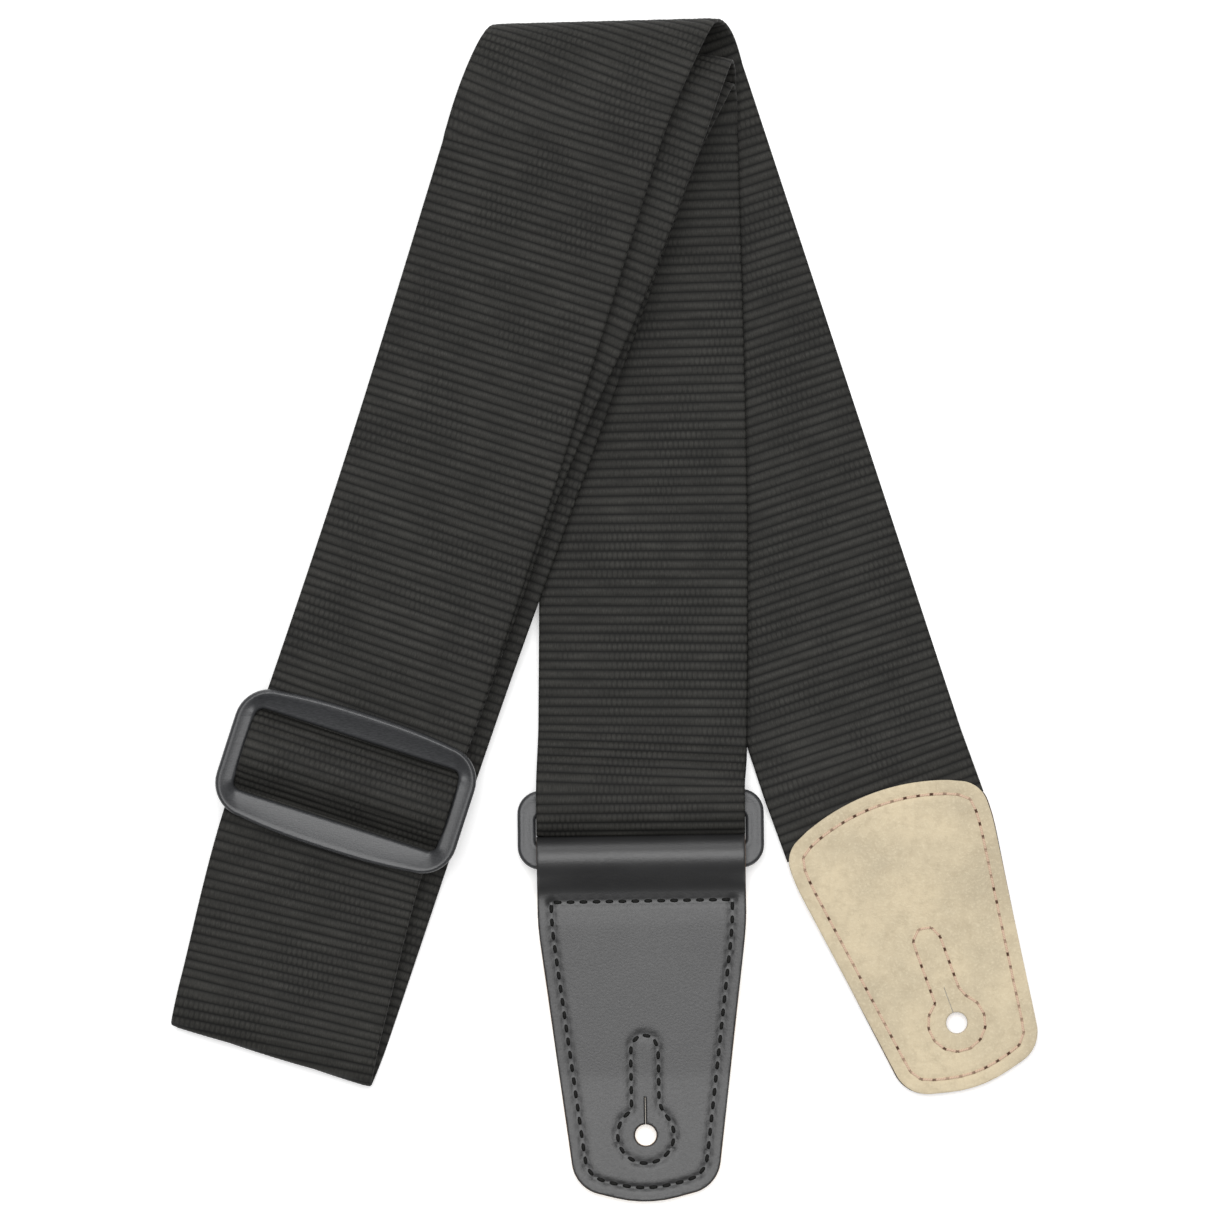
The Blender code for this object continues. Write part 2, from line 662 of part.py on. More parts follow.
def arched_outline():
    """Tab A, with its convex top edge."""
    centre = ARCH_TOP_Y - ARCH_RADIUS
    across = (18.0, 12.0, 6.0, 0.0, -6.0, -12.0, -18.0)
    arch = [(x, centre + math.sqrt(ARCH_RADIUS**2 - x * x), 0.0) for x in across]
    corner_y = centre + math.sqrt(ARCH_RADIUS**2 - TAB_HALF**2)
    right, left = (TAB_HALF, corner_y, ARCH_CORNER), (-TAB_HALF, corner_y, ARCH_CORNER)
    return rounded(tip_corners(TAB_A_SHOULDER) + [right, *arch, left], TAB_ARC_STEP)


def inset(outline, by):
    """The outline moved inwards by a distance, corner by corner."""
    area = sum(a.x * b.y - b.x * a.y for a, b in zip(outline, outline[1:] + outline[:1]))
    side = 1.0 if area > 0 else -1.0
    moved = []
    for i, here in enumerate(outline):
        before = (here - outline[i - 1]).normalized()
        after = (outline[(i + 1) % len(outline)] - here).normalized()
        normal = Vector((-(before.y + after.y), before.x + after.x)).normalized() * side
        square = Vector((-before.y, before.x)) * side
        moved.append(here + normal * (by / max(0.3, normal.dot(square))))
    return moved


def hole_outline(grow=0.0):
    """The button hole with its slit towards the webbing."""
    slit, radius = SLIT_HALF + grow, HOLE_RADIUS + grow
    start = math.asin(slit / radius)
    points = []
    count = 22
    for i in range(count + 1):
        turn = math.pi / 2 + start + (2 * math.pi - 2 * start) * i / count
        points.append(Vector((radius * math.cos(turn), radius * math.sin(turn))))
    return points + [Vector((slit, SLIT_TOP_Y)), Vector((-slit, SLIT_TOP_Y))]


def keyhole_outline(grow=0.0):
    """The stitched line round the hole and its slit."""
    radius, neck = KEYHOLE_RADIUS + grow, KEYHOLE_NECK + grow
    start = math.asin(neck / radius)
    points = []
    count = 18
    for i in range(count + 1):
        turn = math.pi / 2 + start + (2 * math.pi - 2 * start) * i / count
        points.append(Vector((radius * math.cos(turn), radius * math.sin(turn))))
    top = KEYHOLE_TOP_Y - KEYHOLE_NECK
    for i in range(7):
        turn = math.pi * i / 6
        points.append(Vector((neck * math.cos(turn), top + neck * math.sin(turn))))
    return points


def bands(line, wide):
    """The two edges of a band of a given width on a closed line."""
    return [line(-wide / 2), line(wide / 2)]


def border_line(outline):
    """A line inside an outline, for the border stitch: line(grow) gives its outer and inner edges."""

    def line(grow):
        return inset(outline, STITCH_INSET + grow)

    return line


def keyhole_line(grow):
    return keyhole_outline(-grow)


def leather_mesh(name, outline, lines, low, face_up):
    """A flat piece of leather with its button hole and a groove in its face for each stitched line."""
    high = low + LEATHER
    piece = cutter(name + "_flat", plate(name, [outline, hole_outline()], low, high))
    for i, line in enumerate(lines):
        top, bottom = (high + 1.0, high - GROOVE_DEEP) if face_up else (low + GROOVE_DEEP, low - 1.0)
        groove = cutter(f"{name}_groove_{i}", plate("groove", bands(line, GROOVE_WIDE), bottom, top))
        combine(piece, groove, "DIFFERENCE")
    bpy.context.view_layer.update()
    mesh = bpy.data.meshes.new_from_object(piece.evaluated_get(bpy.context.evaluated_depsgraph_get()))
    bpy.data.objects.remove(piece, do_unlink=True)
    return mesh


def thread_mesh(name, line, low, face_up):
    """A thread that lies in its groove, just below the leather's face."""
    if face_up:
        top = low + LEATHER - THREAD_SUNK
        return plate(name, bands(line, THREAD_WIDE), top - THREAD_THICK, top)
    return plate(name, bands(line, THREAD_WIDE), low + THREAD_SUNK, low + THREAD_SUNK + THREAD_THICK)


def drape(mesh, profile, middle):
    """Bends a flat mesh to a side profile. profile is the middle surface as points (y, z), from the tip up;
    the flat piece's own Y is the length along it, and middle is the height of its middle surface."""
    flat_y = [profile[0][0]]
    points = [Vector(p) for p in profile]
    for a, b in zip(points, points[1:]):
        flat_y.append(flat_y[-1] + (b - a).length)
    normals = []
    for i, here in enumerate(points):
        before = (here - points[max(i - 1, 0)]).normalized() if i else None
        after = (points[i + 1] - here).normalized() if i + 1 < len(points) else None
        before, after = before or after, after or before
        square = Vector((-(before.y + after.y), before.x + after.x)).normalized()
        normals.append(square / max(0.5, square.dot(Vector((-before.y, before.x)))))
    bm = bmesh.new()
    bm.from_mesh(mesh)
    for y in flat_y[1:-1]:
        geometry = bm.verts[:] + bm.edges[:] + bm.faces[:]
        cut = (0.0, y * MM, 0.0)
        bmesh.ops.bisect_plane(bm, geom=geometry, dist=1e-8, plane_co=cut, plane_no=(0.0, 1.0, 0.0))
    for vert in bm.verts:
        y, z = vert.co.y / MM, vert.co.z / MM - middle
        i = 0
        while i < len(flat_y) - 2 and y > flat_y[i + 1]:
            i += 1
        t = (y - flat_y[i]) / (flat_y[i + 1] - flat_y[i])
        place_at = points[i].lerp(points[i + 1], t) + normals[i].lerp(normals[i + 1], t) * z
        vert.co.y, vert.co.z = place_at.x * MM, place_at.y * MM
    bmesh.ops.recalc_face_normals(bm, faces=bm.faces)
    bm.to_mesh(mesh)
    bm.free()
    return mesh


def tab_b_profile():
    """The face leather of tab B: flat, up over its own tail, round the ring's lower bar, and back under."""
    low = LEATHER + NODE_GAP + LEATHER / 2
    raised = low + LEATHER + NODE_GAP
    bar = Vector((TAB_B_REACH, RING_BAR_Z))
    top = Vector((bar.x, bar.y + ROLL_RADIUS))
    under = Vector((bar.x, bar.y - ROLL_RADIUS))
    leave, level, end = TAB_B_RISE
    crest = Vector((end, raised))
    points = [Vector((BELOW_TIP_Y, low)), Vector((leave, low)), Vector((level, raised)), crest]
    ease = Vector((CREST_EASE, 0.0))
    points += bezier(crest, crest + ease, top - ease, top, 7)
    for i in range(1, 11):
        turn = math.pi / 2 - math.pi * i / 10
        points.append(bar + Vector((math.cos(turn), math.sin(turn))) * ROLL_RADIUS)
    tail_top, tail_end = TAB_B_TAIL
    tail = Vector((tail_top, low))
    ease = Vector((TAIL_EASE, 0.0))
    points += bezier(under, under - ease, tail + ease, tail, 4)
    points.append(Vector((tail_end, low)))
    return points


def developed_length(profile):
    return profile[0][0] + sum((Vector(b) - Vector(a)).length for a, b in zip(profile, profile[1:]))


def tab_b(parent):
    """The middle tab: face leather that loops round the ring, suede back, and its stitching."""
    at = (0.0, -TAB_B_REACH, -RING_BAR_Z)
    profile = tab_b_profile()
    middle = LEATHER / 2
    border = border_line(square_outline(SEAM_Y + STITCH_INSET))
    whole = square_outline(developed_length(profile))
    face = leather_mesh("tab_b_face", whole, [border, keyhole_line], 0.0, True)
    add("tab_b_face_leather", drape(face, profile, middle), BLACK_LEATHER, parent, at)
    for name, line in (("tab_b_face_border_thread", border), ("tab_b_face_keyhole_thread", keyhole_line)):
        add(name, drape(thread_mesh(name, line, 0.0, True), profile, middle), BLACK_THREAD, parent, at)
    back = leather_mesh("tab_b_back", square_outline(BACK_TOP_Y), [border, keyhole_line], 0.0, False)
    add("tab_b_suede_back", back, SUEDE, parent, at)
    for name, line in (("tab_b_back_border_thread", border), ("tab_b_back_keyhole_thread", keyhole_line)):
        add(name, thread_mesh(name, line, 0.0, False), TAN_THREAD, parent, at)


def tab_a_profile():
    """The suede of tab A: flat at the button hole, then up over the end of the webbing."""
    low = LEATHER + NODE_GAP + LEATHER / 2
    raised = low + WEB_THICK + NODE_GAP
    leave, level = TAB_A_RISE
    return [(BELOW_TIP_Y, low), (leave, low), (level, raised), (ABOVE_ARCH_Y, raised)]


def tab_a(parent):
    """The right tab, which lies face down: face leather below, the webbing's end, and the suede on top."""
    web_z = LEATHER + NODE_GAP + WEB_THICK / 2
    at = (0.0, -TAB_A_REACH, -web_z)
    middle = LEATHER / 2
    outline = arched_outline()
    border = border_line(outline)
    slip = Matrix.Rotation(FACE_SLIP, 3, "Z")
    pivot_at = Vector((0.0, FACE_SLIP_Y))
    skewed = [(slip @ (p - pivot_at).to_3d()).to_2d() + pivot_at for p in outline]
    face = leather_mesh("tab_a_face", skewed, [border, keyhole_line], 0.0, False)
    add("tab_a_face_leather", face, BLACK_LEATHER, parent, at)
    for name, line in (("tab_a_face_border_thread", border), ("tab_a_face_keyhole_thread", keyhole_line)):
        add(name, thread_mesh(name, line, 0.0, False), BLACK_THREAD, parent, at)
    profile = tab_a_profile()
    back = leather_mesh("tab_a_back", outline, [border, keyhole_line], 0.0, True)
    add("tab_a_suede_back", drape(back, profile, middle), SUEDE, parent, at)
    for name, line in (("tab_a_back_border_thread", border), ("tab_a_back_keyhole_thread", keyhole_line)):
        add(name, drape(thread_mesh(name, line, 0.0, True), profile, middle), TAN_THREAD, parent, at)
    end = [(TAB_HALF, -FLEX_HALF - NODE_GAP / 2), (TAB_HALF, WEB_END_SIDE_Y), WEB_END_CORNER]
    outline = [Vector(p) for p in end] + [Vector((-x, y)) for x, y in reversed(end)]
    half = WEB_THICK / 2
    add("webbing_tab_end", plate("webbing_tab_end", [outline], -half, half), BLACK_WEB, parent)


clear_scene()
parts = make_collection(COLLECTION)
cutters = make_collection("cutters")
tab_a_frame = Matrix.Translation((*TAB_A_HOLE, 0.0)) @ Matrix.Rotation(TAB_A_YAW, 4, "Z")
webbing_runs()
slider_pivot = pivot("slider_pivot", SLIDER_AT, FRONT_YAW, FRONT_PITCH)
slider_frame(slider_pivot)
slider_webbing(slider_pivot)
ring_pivot = pivot("ring_pivot", (RING_X, RING_TOP_BAR_Y, RING_BAR_Z), RING_YAW)
ring(ring_pivot)
tab_b_pivot = pivot("tab_b_pivot", (0.0, -RING_BAR_PITCH, 0.0), TAB_B_YAW, parent=ring_pivot)
tab_b(tab_b_pivot)
bend_at = tab_a_frame @ Vector((0.0, TAB_A_REACH, 0.0))
tab_a_pivot = pivot("tab_a_pivot", (bend_at.x, bend_at.y, LEATHER + NODE_GAP + WEB_THICK / 2), TAB_A_YAW)
tab_a(tab_a_pivot)
bpy.context.view_layer.update()
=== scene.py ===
"""The looks of a folded guitar strap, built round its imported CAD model.

Lengths are in millimetres in the model's plan layout: +Y towards the top folds, +Z up from the surface that
the strap lies on. world() turns them into metres in the model's frame.
"""

import math

import bmesh
import bpy
import numpy as np
from mathutils import Matrix, Vector

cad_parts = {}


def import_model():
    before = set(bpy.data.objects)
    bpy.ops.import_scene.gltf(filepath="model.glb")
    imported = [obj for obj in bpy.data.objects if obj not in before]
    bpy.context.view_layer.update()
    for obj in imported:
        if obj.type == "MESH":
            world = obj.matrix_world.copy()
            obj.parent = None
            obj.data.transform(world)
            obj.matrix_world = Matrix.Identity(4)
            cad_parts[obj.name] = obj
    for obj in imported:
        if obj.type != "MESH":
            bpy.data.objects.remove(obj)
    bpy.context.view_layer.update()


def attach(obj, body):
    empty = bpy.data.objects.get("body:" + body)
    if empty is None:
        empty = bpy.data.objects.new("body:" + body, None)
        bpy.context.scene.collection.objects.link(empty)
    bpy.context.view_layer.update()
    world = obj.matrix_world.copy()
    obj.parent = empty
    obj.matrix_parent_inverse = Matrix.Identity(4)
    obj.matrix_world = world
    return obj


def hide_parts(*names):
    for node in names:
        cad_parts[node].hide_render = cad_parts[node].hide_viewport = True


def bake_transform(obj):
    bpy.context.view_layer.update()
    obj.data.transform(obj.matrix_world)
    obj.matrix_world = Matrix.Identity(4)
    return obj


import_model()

MM = 0.001
ORIGIN = (-0.145, 0.0, 0.0)  # plan point under the middle of the object's box

# -------- driving sizes, as in the CAD model
# A fold is its axis's tilt in degrees, its crest's distance out, and its height. A rise is where a leather
# leaves its first level, reaches the next one, and (tab B's) turns up to the ring.

WEB_HALF = 25.0
WEB_THICK = 1.3
GAP = 0.3
Z_LAYER_1 = 0.65
Z_LAYER_2 = 2.25
Z_LAYER_3 = 3.85
BLEND_LENGTH = 26.0

FRONT_TOP = (-11.5, 115.0, 24.3)
FRONT_SHIFT = 0.7
FRONT_BOTTOM = (-77.4, -95.0, 7.0)
RETURN_BOTTOM = (-75.3, -95.0, Z_LAYER_1)
RETURN_MIDDLE = ((-47.2, -12.0, 5.6), (-24.8, 50.0, 9.3))
RETURN_TOP = (-2.9, 112.0, 13.2)
SEWN_RUN_MIDDLE = ((-31.2, 44.0, 15.2), (-14.4, 82.0, 16.9))
SEWN_RUN_TOP = (-1.2, 117.0, 18.5)
RIGHT_TOP = (6.9, 130.5, Z_LAYER_1)
RIGHT_LEVEL_END = (56.95, -22.0, Z_LAYER_1)
INNER_END = (6.75, 118.5, Z_LAYER_3)
MIDDLE_END = (6.62, 125.0, Z_LAYER_2)
CENTRE_LEAN = 0.02
CENTRE_MIDDLE_Y = 30.0
FRONT_LEVEL_END_Y = -27.0
BACK_LEVEL_END_Y = -33.0
CENTRE_SHIFT = 0.55
WAIST_UP = 4.0
FRONT_WAIST_DROP = 0.25
BACK_WAIST_RISE = 0.1

OUTER_FOLD = (1.5, 140.2, 12.3)
LOWER_FOLD = (-17.2, 125.2, 3.6)

SLIDER_AT = (-61.8, -40.8, 11.47)
FRONT_YAW = math.radians(-17.9)
FRONT_PITCH = math.radians(4.49)
SLIDER_WIDE = 60.0
SLIDER_TALL = 34.1
SLIDER_BULGE = 1.25
SLIDER_CORNER = 8.5
SLIDER_THICK = 3.0
SLIDER_BOTTOM = 0.95
WINDOW_WIDE = 51.0
WINDOW_TALL = 20.4
WINDOW_CORNER = 2.0
WINDOW_SHIFT = 0.35
BAR_Z = SLIDER_BOTTOM + SLIDER_THICK / 2
LOOP_RADIUS = 2.4
SEWN_LEVEL = -1.5
TAIL_LEVEL = -3.0
SEWN_LENGTH = 46.0
TAIL_LENGTH = 44.0
PASS_TOP = 17.0
PASS_BOTTOM = -17.4

RING_X = 8.6
RING_TOP_BAR_Y = -46.05
RING_BAR_Z = 5.3
RING_YAW = math.radians(0.6)
RING_WIDE = 59.0
RING_TALL = 18.9
RING_CORNER = 5.5
RING_THICK = 3.0
RING_BAR = 6.0
SLOT_CORNER = 1.0
TURN_RADIUS = 4.4
RING_BAR_PITCH = RING_TALL - RING_BAR

LEATHER = 1.6
TAB_B_YAW = math.radians(0.4)
TAB_B_REACH = 66.85
TAB_A_HOLE = (84.4, -98.9)
TAB_A_YAW = math.radians(20.0)
TAB_A_REACH = 63.0
FLEX_HALF = 3.0
TAB_HALF = 25.0
TAB_B_SHOULDER = (50.5, 60.0)
TAB_A_SHOULDER = (44.0, 40.0)
TIP_CORNER = (17.1, -12.5)
TIP_CORNER_RADIUS = 8.5
TIP_POINT_Y = -16.9
TIP_RADIUS = 30.0
ARCH_TOP_Y = 58.7
ARCH_RADIUS = 52.0
ARCH_CORNER = 7.0
SEAM_Y = 56.2
BACK_TOP_Y = 58.2
SLIT_TOP_Y = 9.0
KEYHOLE_RADIUS = 6.9
KEYHOLE_NECK = 3.3
KEYHOLE_TOP_Y = 24.3
STITCH_INSET = 3.3
FACE_SLIP = math.radians(-0.6)
FACE_SLIP_Y = 20.0
ROLL_RADIUS = 4.5
BELOW_TIP_Y = -20.0
TAB_B_TAIL = (60.5, 52.5)
CREST_EASE = 5.2
TAIL_EASE = 2.7
TAB_A_RISE = (26.0, 39.0)
ABOVE_ARCH_Y = 70.0

# -------- sizes that differ a little from the CAD's

MIDDLE_FOLD = (-8.85, 134.4, 10.3)
INNER_FOLD = (-8.85, 128.9, 8.5)
BAR_RADIUS = 1.2
BAR_DROP = 0.4  # the slider's bar below its frame's middle
BAR_SUNK = 1.0  # how far the bar goes into the frame at each end
SLOT_WIDE = 50.2  # the ring's slot
TAB_B_RISE = (14.0, 51.0, 57.0)
HOLE_RADIUS = 2.55  # the button hole, as wide as it looks
SLIT_HALF = 0.06  # its slit, closed
TAIL_ANGLE = math.radians(26.0)

# -------- sizes of the details

RIB = 2.2  # one weft rib to the next, along the webbing
ROW = RIB / 4  # rows of vertices along the webbing
BUMP_COLUMNS = 39  # columns of vertices each side of the middle, two to a warp bump
COLUMN = 24.25 / BUMP_COLUMNS
SELVEDGE_IN = 24.75  # where the top and back surfaces turn into the edge
SELVEDGE_LINE = 24.0  # the groove beside the edge, and its depth and width
SELVEDGE_DEEP, SELVEDGE_SOFT = 0.22, 0.35
EDGE_DROP = 0.18  # how far the edge's corners lie below the ribs
WEAVE_DEEP = 0.22  # from a rib's top down to the gap between ribs
BUMP_SHARE = 0.24  # the part of a rib's height that the warp bumps make
THINNEST = 0.12  # least distance from the webbing's middle to its surface
STITCH = 3.2  # stitch pitch on the tabs
LEATHER_CELL = 0.75  # spacing of the vertices in a tab
RIMS = (0.12, 0.3)  # widths of the narrow rims of faces along a tab's edges
EDGE_ROUND = (0.42, 0.45)  # depth and width of a leather edge's rounding
CHANNEL = (0.24, 0.9)  # depth and width of the channel under a line of stitches
DIMPLE = (0.25, 0.6)  # the same for the dimple at a needle hole
RAW_EDGE = 0.25  # width of the band where the leather's brown core shows
SLIT_REACH = (0.7, 0.5)  # how far beside and past the slit its edges hide their core
SLIT_DROP = 0.15  # the share of the edge's rounding that the suede has there
THREAD_LOW, THREAD_LIFT = 0.55, 0.32  # a thread's depth at its holes, and how much its middle rises
THREAD_SUNK = 0.1  # how far the sewn end's stitches start inside it
BACK_STITCH = {"cover": 1.0, "radius": 0.58, "thin": 0.5}
TAB_WIDE = 2 * TAB_HALF
TAB_A_LONG, TAB_B_LONG = 75.5, 75.0  # flat lengths of the right tab's leathers and of the middle tab's suede
TAB_AREA = TAB_WIDE * 68.0
TIP_OUT = 17.0  # how far the tip goes past the middle of the button hole
TIP_LOSS = 6.0  # the length that a tab's rounded tip takes off its area
TOP_SAG = 0.12  # the hollow along the top of a moulded rim
SLIDER_EDGE_DROP = 1.5  # how much lower the slider's rim is along its window
TURN_REACH = 7.6  # how far the webbing's turn hangs below the middle of the ring's top bar
FRONT_EASE = (0.5, 1.1)  # how far the front run lies right of a straight line, at the slider and higher up
HUMP_FOOT = ((14.0, -0.22), (9.9, -0.22)), ((-9.3, -0.22), (-14.0, -0.22))  # (Y, Z) in the slider's frame
HUMP_CREST = ((8.4, 2.6), (4.6, 5.35), (0.5, 6.4), (-2.9, 5.9), (-6.1, 2.9))
HUMP_HALF = 25.75  # a little over half the webbing's width, so that it fills the window
LOOP_RISE = math.radians(51.0)  # how steeply the sewn end comes up to the slider's bar
SEWN_LEAN = 0.035  # how far the sewn end leans to the right, for each mm along the slider's Y
SEWN_BOX = ((21.0, 18.0), (21.0, 40.0), (-21.0, 40.0), (-21.0, 18.0))
SINK = 0.04  # how far a piece's hidden end lies below its neighbour's surface
INSIDE_LENGTH = 32.0  # how far the sewn run goes on inside the sewn end
INSIDE_THICK = 0.7
INSIDE_HALF = 24.8
IN_TAB = 13.0  # how far the shown webbing goes into the right tab

# -------- meshes and lines


def world(points):
    return (np.asarray(points, float) - np.array(ORIGIN)) * MM


def new_piece(name, verts, faces, look, uv=None):
    """A smooth piece from verts in world metres and faces as lists of indices, with its material.
    uv is a map's name and one pair of numbers for each vertex."""
    mesh = bpy.data.meshes.new(name)
    mesh.from_pydata([tuple(v) for v in verts], [], [tuple(f) for f in faces])
    mesh.update()
    mesh.shade_smooth()
    obj = bpy.data.objects.new(name, mesh)
    bpy.context.scene.collection.objects.link(obj)
    if uv:
        layer = mesh.uv_layers.new(name=uv[0])
        corner = np.empty(len(mesh.loops), np.int32)
        mesh.loops.foreach_get("vertex_index", corner)
        layer.data.foreach_set("uv", np.asarray(uv[1], np.float32)[corner].ravel())
    bm = bmesh.new()
    bm.from_mesh(mesh)
    bmesh.ops.recalc_face_normals(bm, faces=bm.faces)
    bm.to_mesh(mesh)
    bm.free()
    mesh.materials.append(look)
    return obj


def stand_in(piece, body, *nodes):
    """Makes a piece ride on a body in the place of CAD nodes."""
    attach(piece, body)
    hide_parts(*nodes)


def walked(points):
    """The distance along a line to each of its points."""
    return np.concatenate([[0.0], np.cumsum(np.linalg.norm(np.diff(points, axis=0), axis=1))])


def resampled(points, at):
    """The flat points at some distances along a line of straight steps."""
    known = walked(points)
    return np.stack([np.interp(at, known, points[:, k]) for k in (0, 1)], axis=1)


def softened(profile, times=6, spacing=0.6):
    """A profile resampled evenly, with its corners eased."""
    points = np.array([tuple(p) for p in profile])
    length = walked(points)[-1]
    line = resampled(points, np.linspace(0.0, length, int(length / spacing) + 1))
    for _ in range(times):
        line[1:-1] = line[1:-1] * 0.5 + (line[:-2] + line[2:]) * 0.25
    return line


# -------- the webbing's path


def bezier(a, b, c, d, count):
    points = []
    for i in range(1, count + 1):
        t = i / count
        points.append(a * (1 - t) ** 3 + b * 3 * t * (1 - t) ** 2 + c * 3 * t * t * (1 - t) + d * t**3)
    return points


def headings(keys):
    """The direction of a smooth line at each key, level where the height stops changing."""
    found = []
    for i, here in enumerate(keys):
        before, after = keys[max(i - 1, 0)], keys[min(i + 1, len(keys) - 1)]
        slopes = [(b.z - a.z) / (b - a).length for a, b in ((before, here), (here, after)) if a != b]
        rise = 2 * slopes[0] * slopes[-1] / (slopes[0] + slopes[-1]) if slopes[0] * slopes[-1] > 0 else 0.0
        level = Vector((after.x - before.x, after.y - before.y, 0.0)).normalized()
        found.append(level + Vector((0.0, 0.0, rise)))
    return found


def smooth_line(keys, spacing):
    keys = [Vector(k) for k in keys]
    toward = headings(keys)
    points = [keys[0]]
    for i, (a, b) in enumerate(zip(keys, keys[1:])):
        reach = (b - a).length / 3
        leave, arrive = a + toward[i] * reach, b - toward[i + 1] * reach
        points += bezier(a, leave, arrive, b, max(1, round((b - a).length / spacing)))
    return points


def distances(points):
    """The distance along a line of Vectors to each of them."""
    passed = [0.0]
    for a, b in zip(points, points[1:]):
        passed.append(passed[-1] + (b - a).length)
    return passed


def cross_line(ahead, across):
    """The half cross line that keeps the webbing's width where it isn't square to the run."""
    slant = ahead.normalized().cross(across).length
    return across * (WEB_HALF / slant)


def run(keys, first_axis=None, last_axis=None, spacing=3.0):
    """Stations (point, half cross line) along a run, whose cross lines turn to each fold's axis."""
    points = smooth_line(keys, spacing)
    passed = distances(points)
    stations = []
    for i, point in enumerate(points):
        ahead = points[min(i + 1, len(points) - 1)] - points[max(i - 1, 0)]
        across = Vector((ahead.y, -ahead.x, 0.0)).normalized()
        for axis, distance in ((first_axis, passed[i]), (last_axis, passed[-1] - passed[i])):
            if axis is not None and distance < BLEND_LENGTH:
                share = 1 - distance / BLEND_LENGTH
                share = share * share * (3 - 2 * share)
                side = axis if axis.dot(across) > 0 else -axis
                across = across.lerp(side, share).normalized()
        stations.append((point, cross_line(ahead, across)))
    return stations


def fold_axis(tilt):
    turn = math.radians(tilt)
    return Vector((math.cos(turn), math.sin(turn), 0.0))


def fold(start, toward, end, away, shape, outward=1.0, count=24):
    """Stations round a fold, from the end of one run to the start of the next. Toward is the direction in
    which the first run comes to the fold, and away the one in which the next leaves it."""
    tilt, crest, height = shape
    axis = fold_axis(tilt)
    out = Vector((-axis.y, axis.x, 0.0)) * outward
    leave, arrive = (d.dot(axis) / abs(d.dot(out)) for d in (toward, away))
    start, end = Vector(start), Vector(end)
    a, b, c = Vector((start.dot(out), start.z)), Vector((crest, height)), Vector((end.dot(out), end.z))
    round_off = 0.5523  # a quarter turn's Bezier handles, as a share of its radius
    points = [a]
    for p, q, corner in ((a, b, Vector((b.x, a.y))), (b, c, Vector((b.x, c.y)))):
        points += bezier(p, p.lerp(corner, round_off), q.lerp(corner, round_off), q, count)
    passed = distances(points)
    whole = passed[-1]
    first, last = start.dot(axis), end.dot(axis)
    centre = []
    for point, distance in zip(points, passed):
        t = distance / whole
        along = first * (2 * t**3 - 3 * t * t + 1) + leave * whole * (t**3 - 2 * t * t + t)
        along += last * (3 * t * t - 2 * t**3) + arrive * whole * (t**3 - t * t)
        centre.append(axis * along + out * point.x + Vector((0.0, 0.0, point.y)))
    stations = []
    for i, point in enumerate(centre):
        ahead = centre[min(i + 1, len(centre) - 1)] - centre[max(i - 1, 0)]
        stations.append((point, cross_line(ahead, axis)))
    return stations


def ring_turn(count=24):
    """Stations half way round the ring's top bar, from its top to its underside."""
    axis = fold_axis(math.degrees(RING_YAW))
    down = Vector((axis.y, -axis.x, 0.0))
    bar = Vector((RING_X, RING_TOP_BAR_Y, RING_BAR_Z))
    stations = []
    for i in range(count + 1):
        turn = math.pi * i / count
        offset = down * math.sin(turn) * TURN_REACH + Vector((0.0, 0.0, math.cos(turn))) * TURN_RADIUS
        stations.append((bar + offset, axis * WEB_HALF))
    return stations


TAB_A_FRAME = Matrix.Translation((*TAB_A_HOLE, 0.0)) @ Matrix.Rotation(TAB_A_YAW, 4, "Z")
TAB_A_UP = TAB_A_FRAME.to_3x3() @ Vector((0.0, 1.0, 0.0))
BEND = TAB_A_FRAME @ Vector((0.0, TAB_A_REACH, LEATHER + GAP + WEB_THICK / 2))
FRONT_DIR = Vector((math.sin(-FRONT_YAW), math.cos(FRONT_YAW), 0.0))
FRONT_ACROSS = Vector((FRONT_DIR.y, -FRONT_DIR.x, 0.0))
FRONT_ALONG = Vector((FRONT_DIR.x, FRONT_DIR.y, math.tan(FRONT_PITCH))).normalized()
FRONT_ABOVE = FRONT_ACROSS.cross(FRONT_ALONG)


def direction(a, b):
    return (Vector(b) - Vector(a)).normalized()


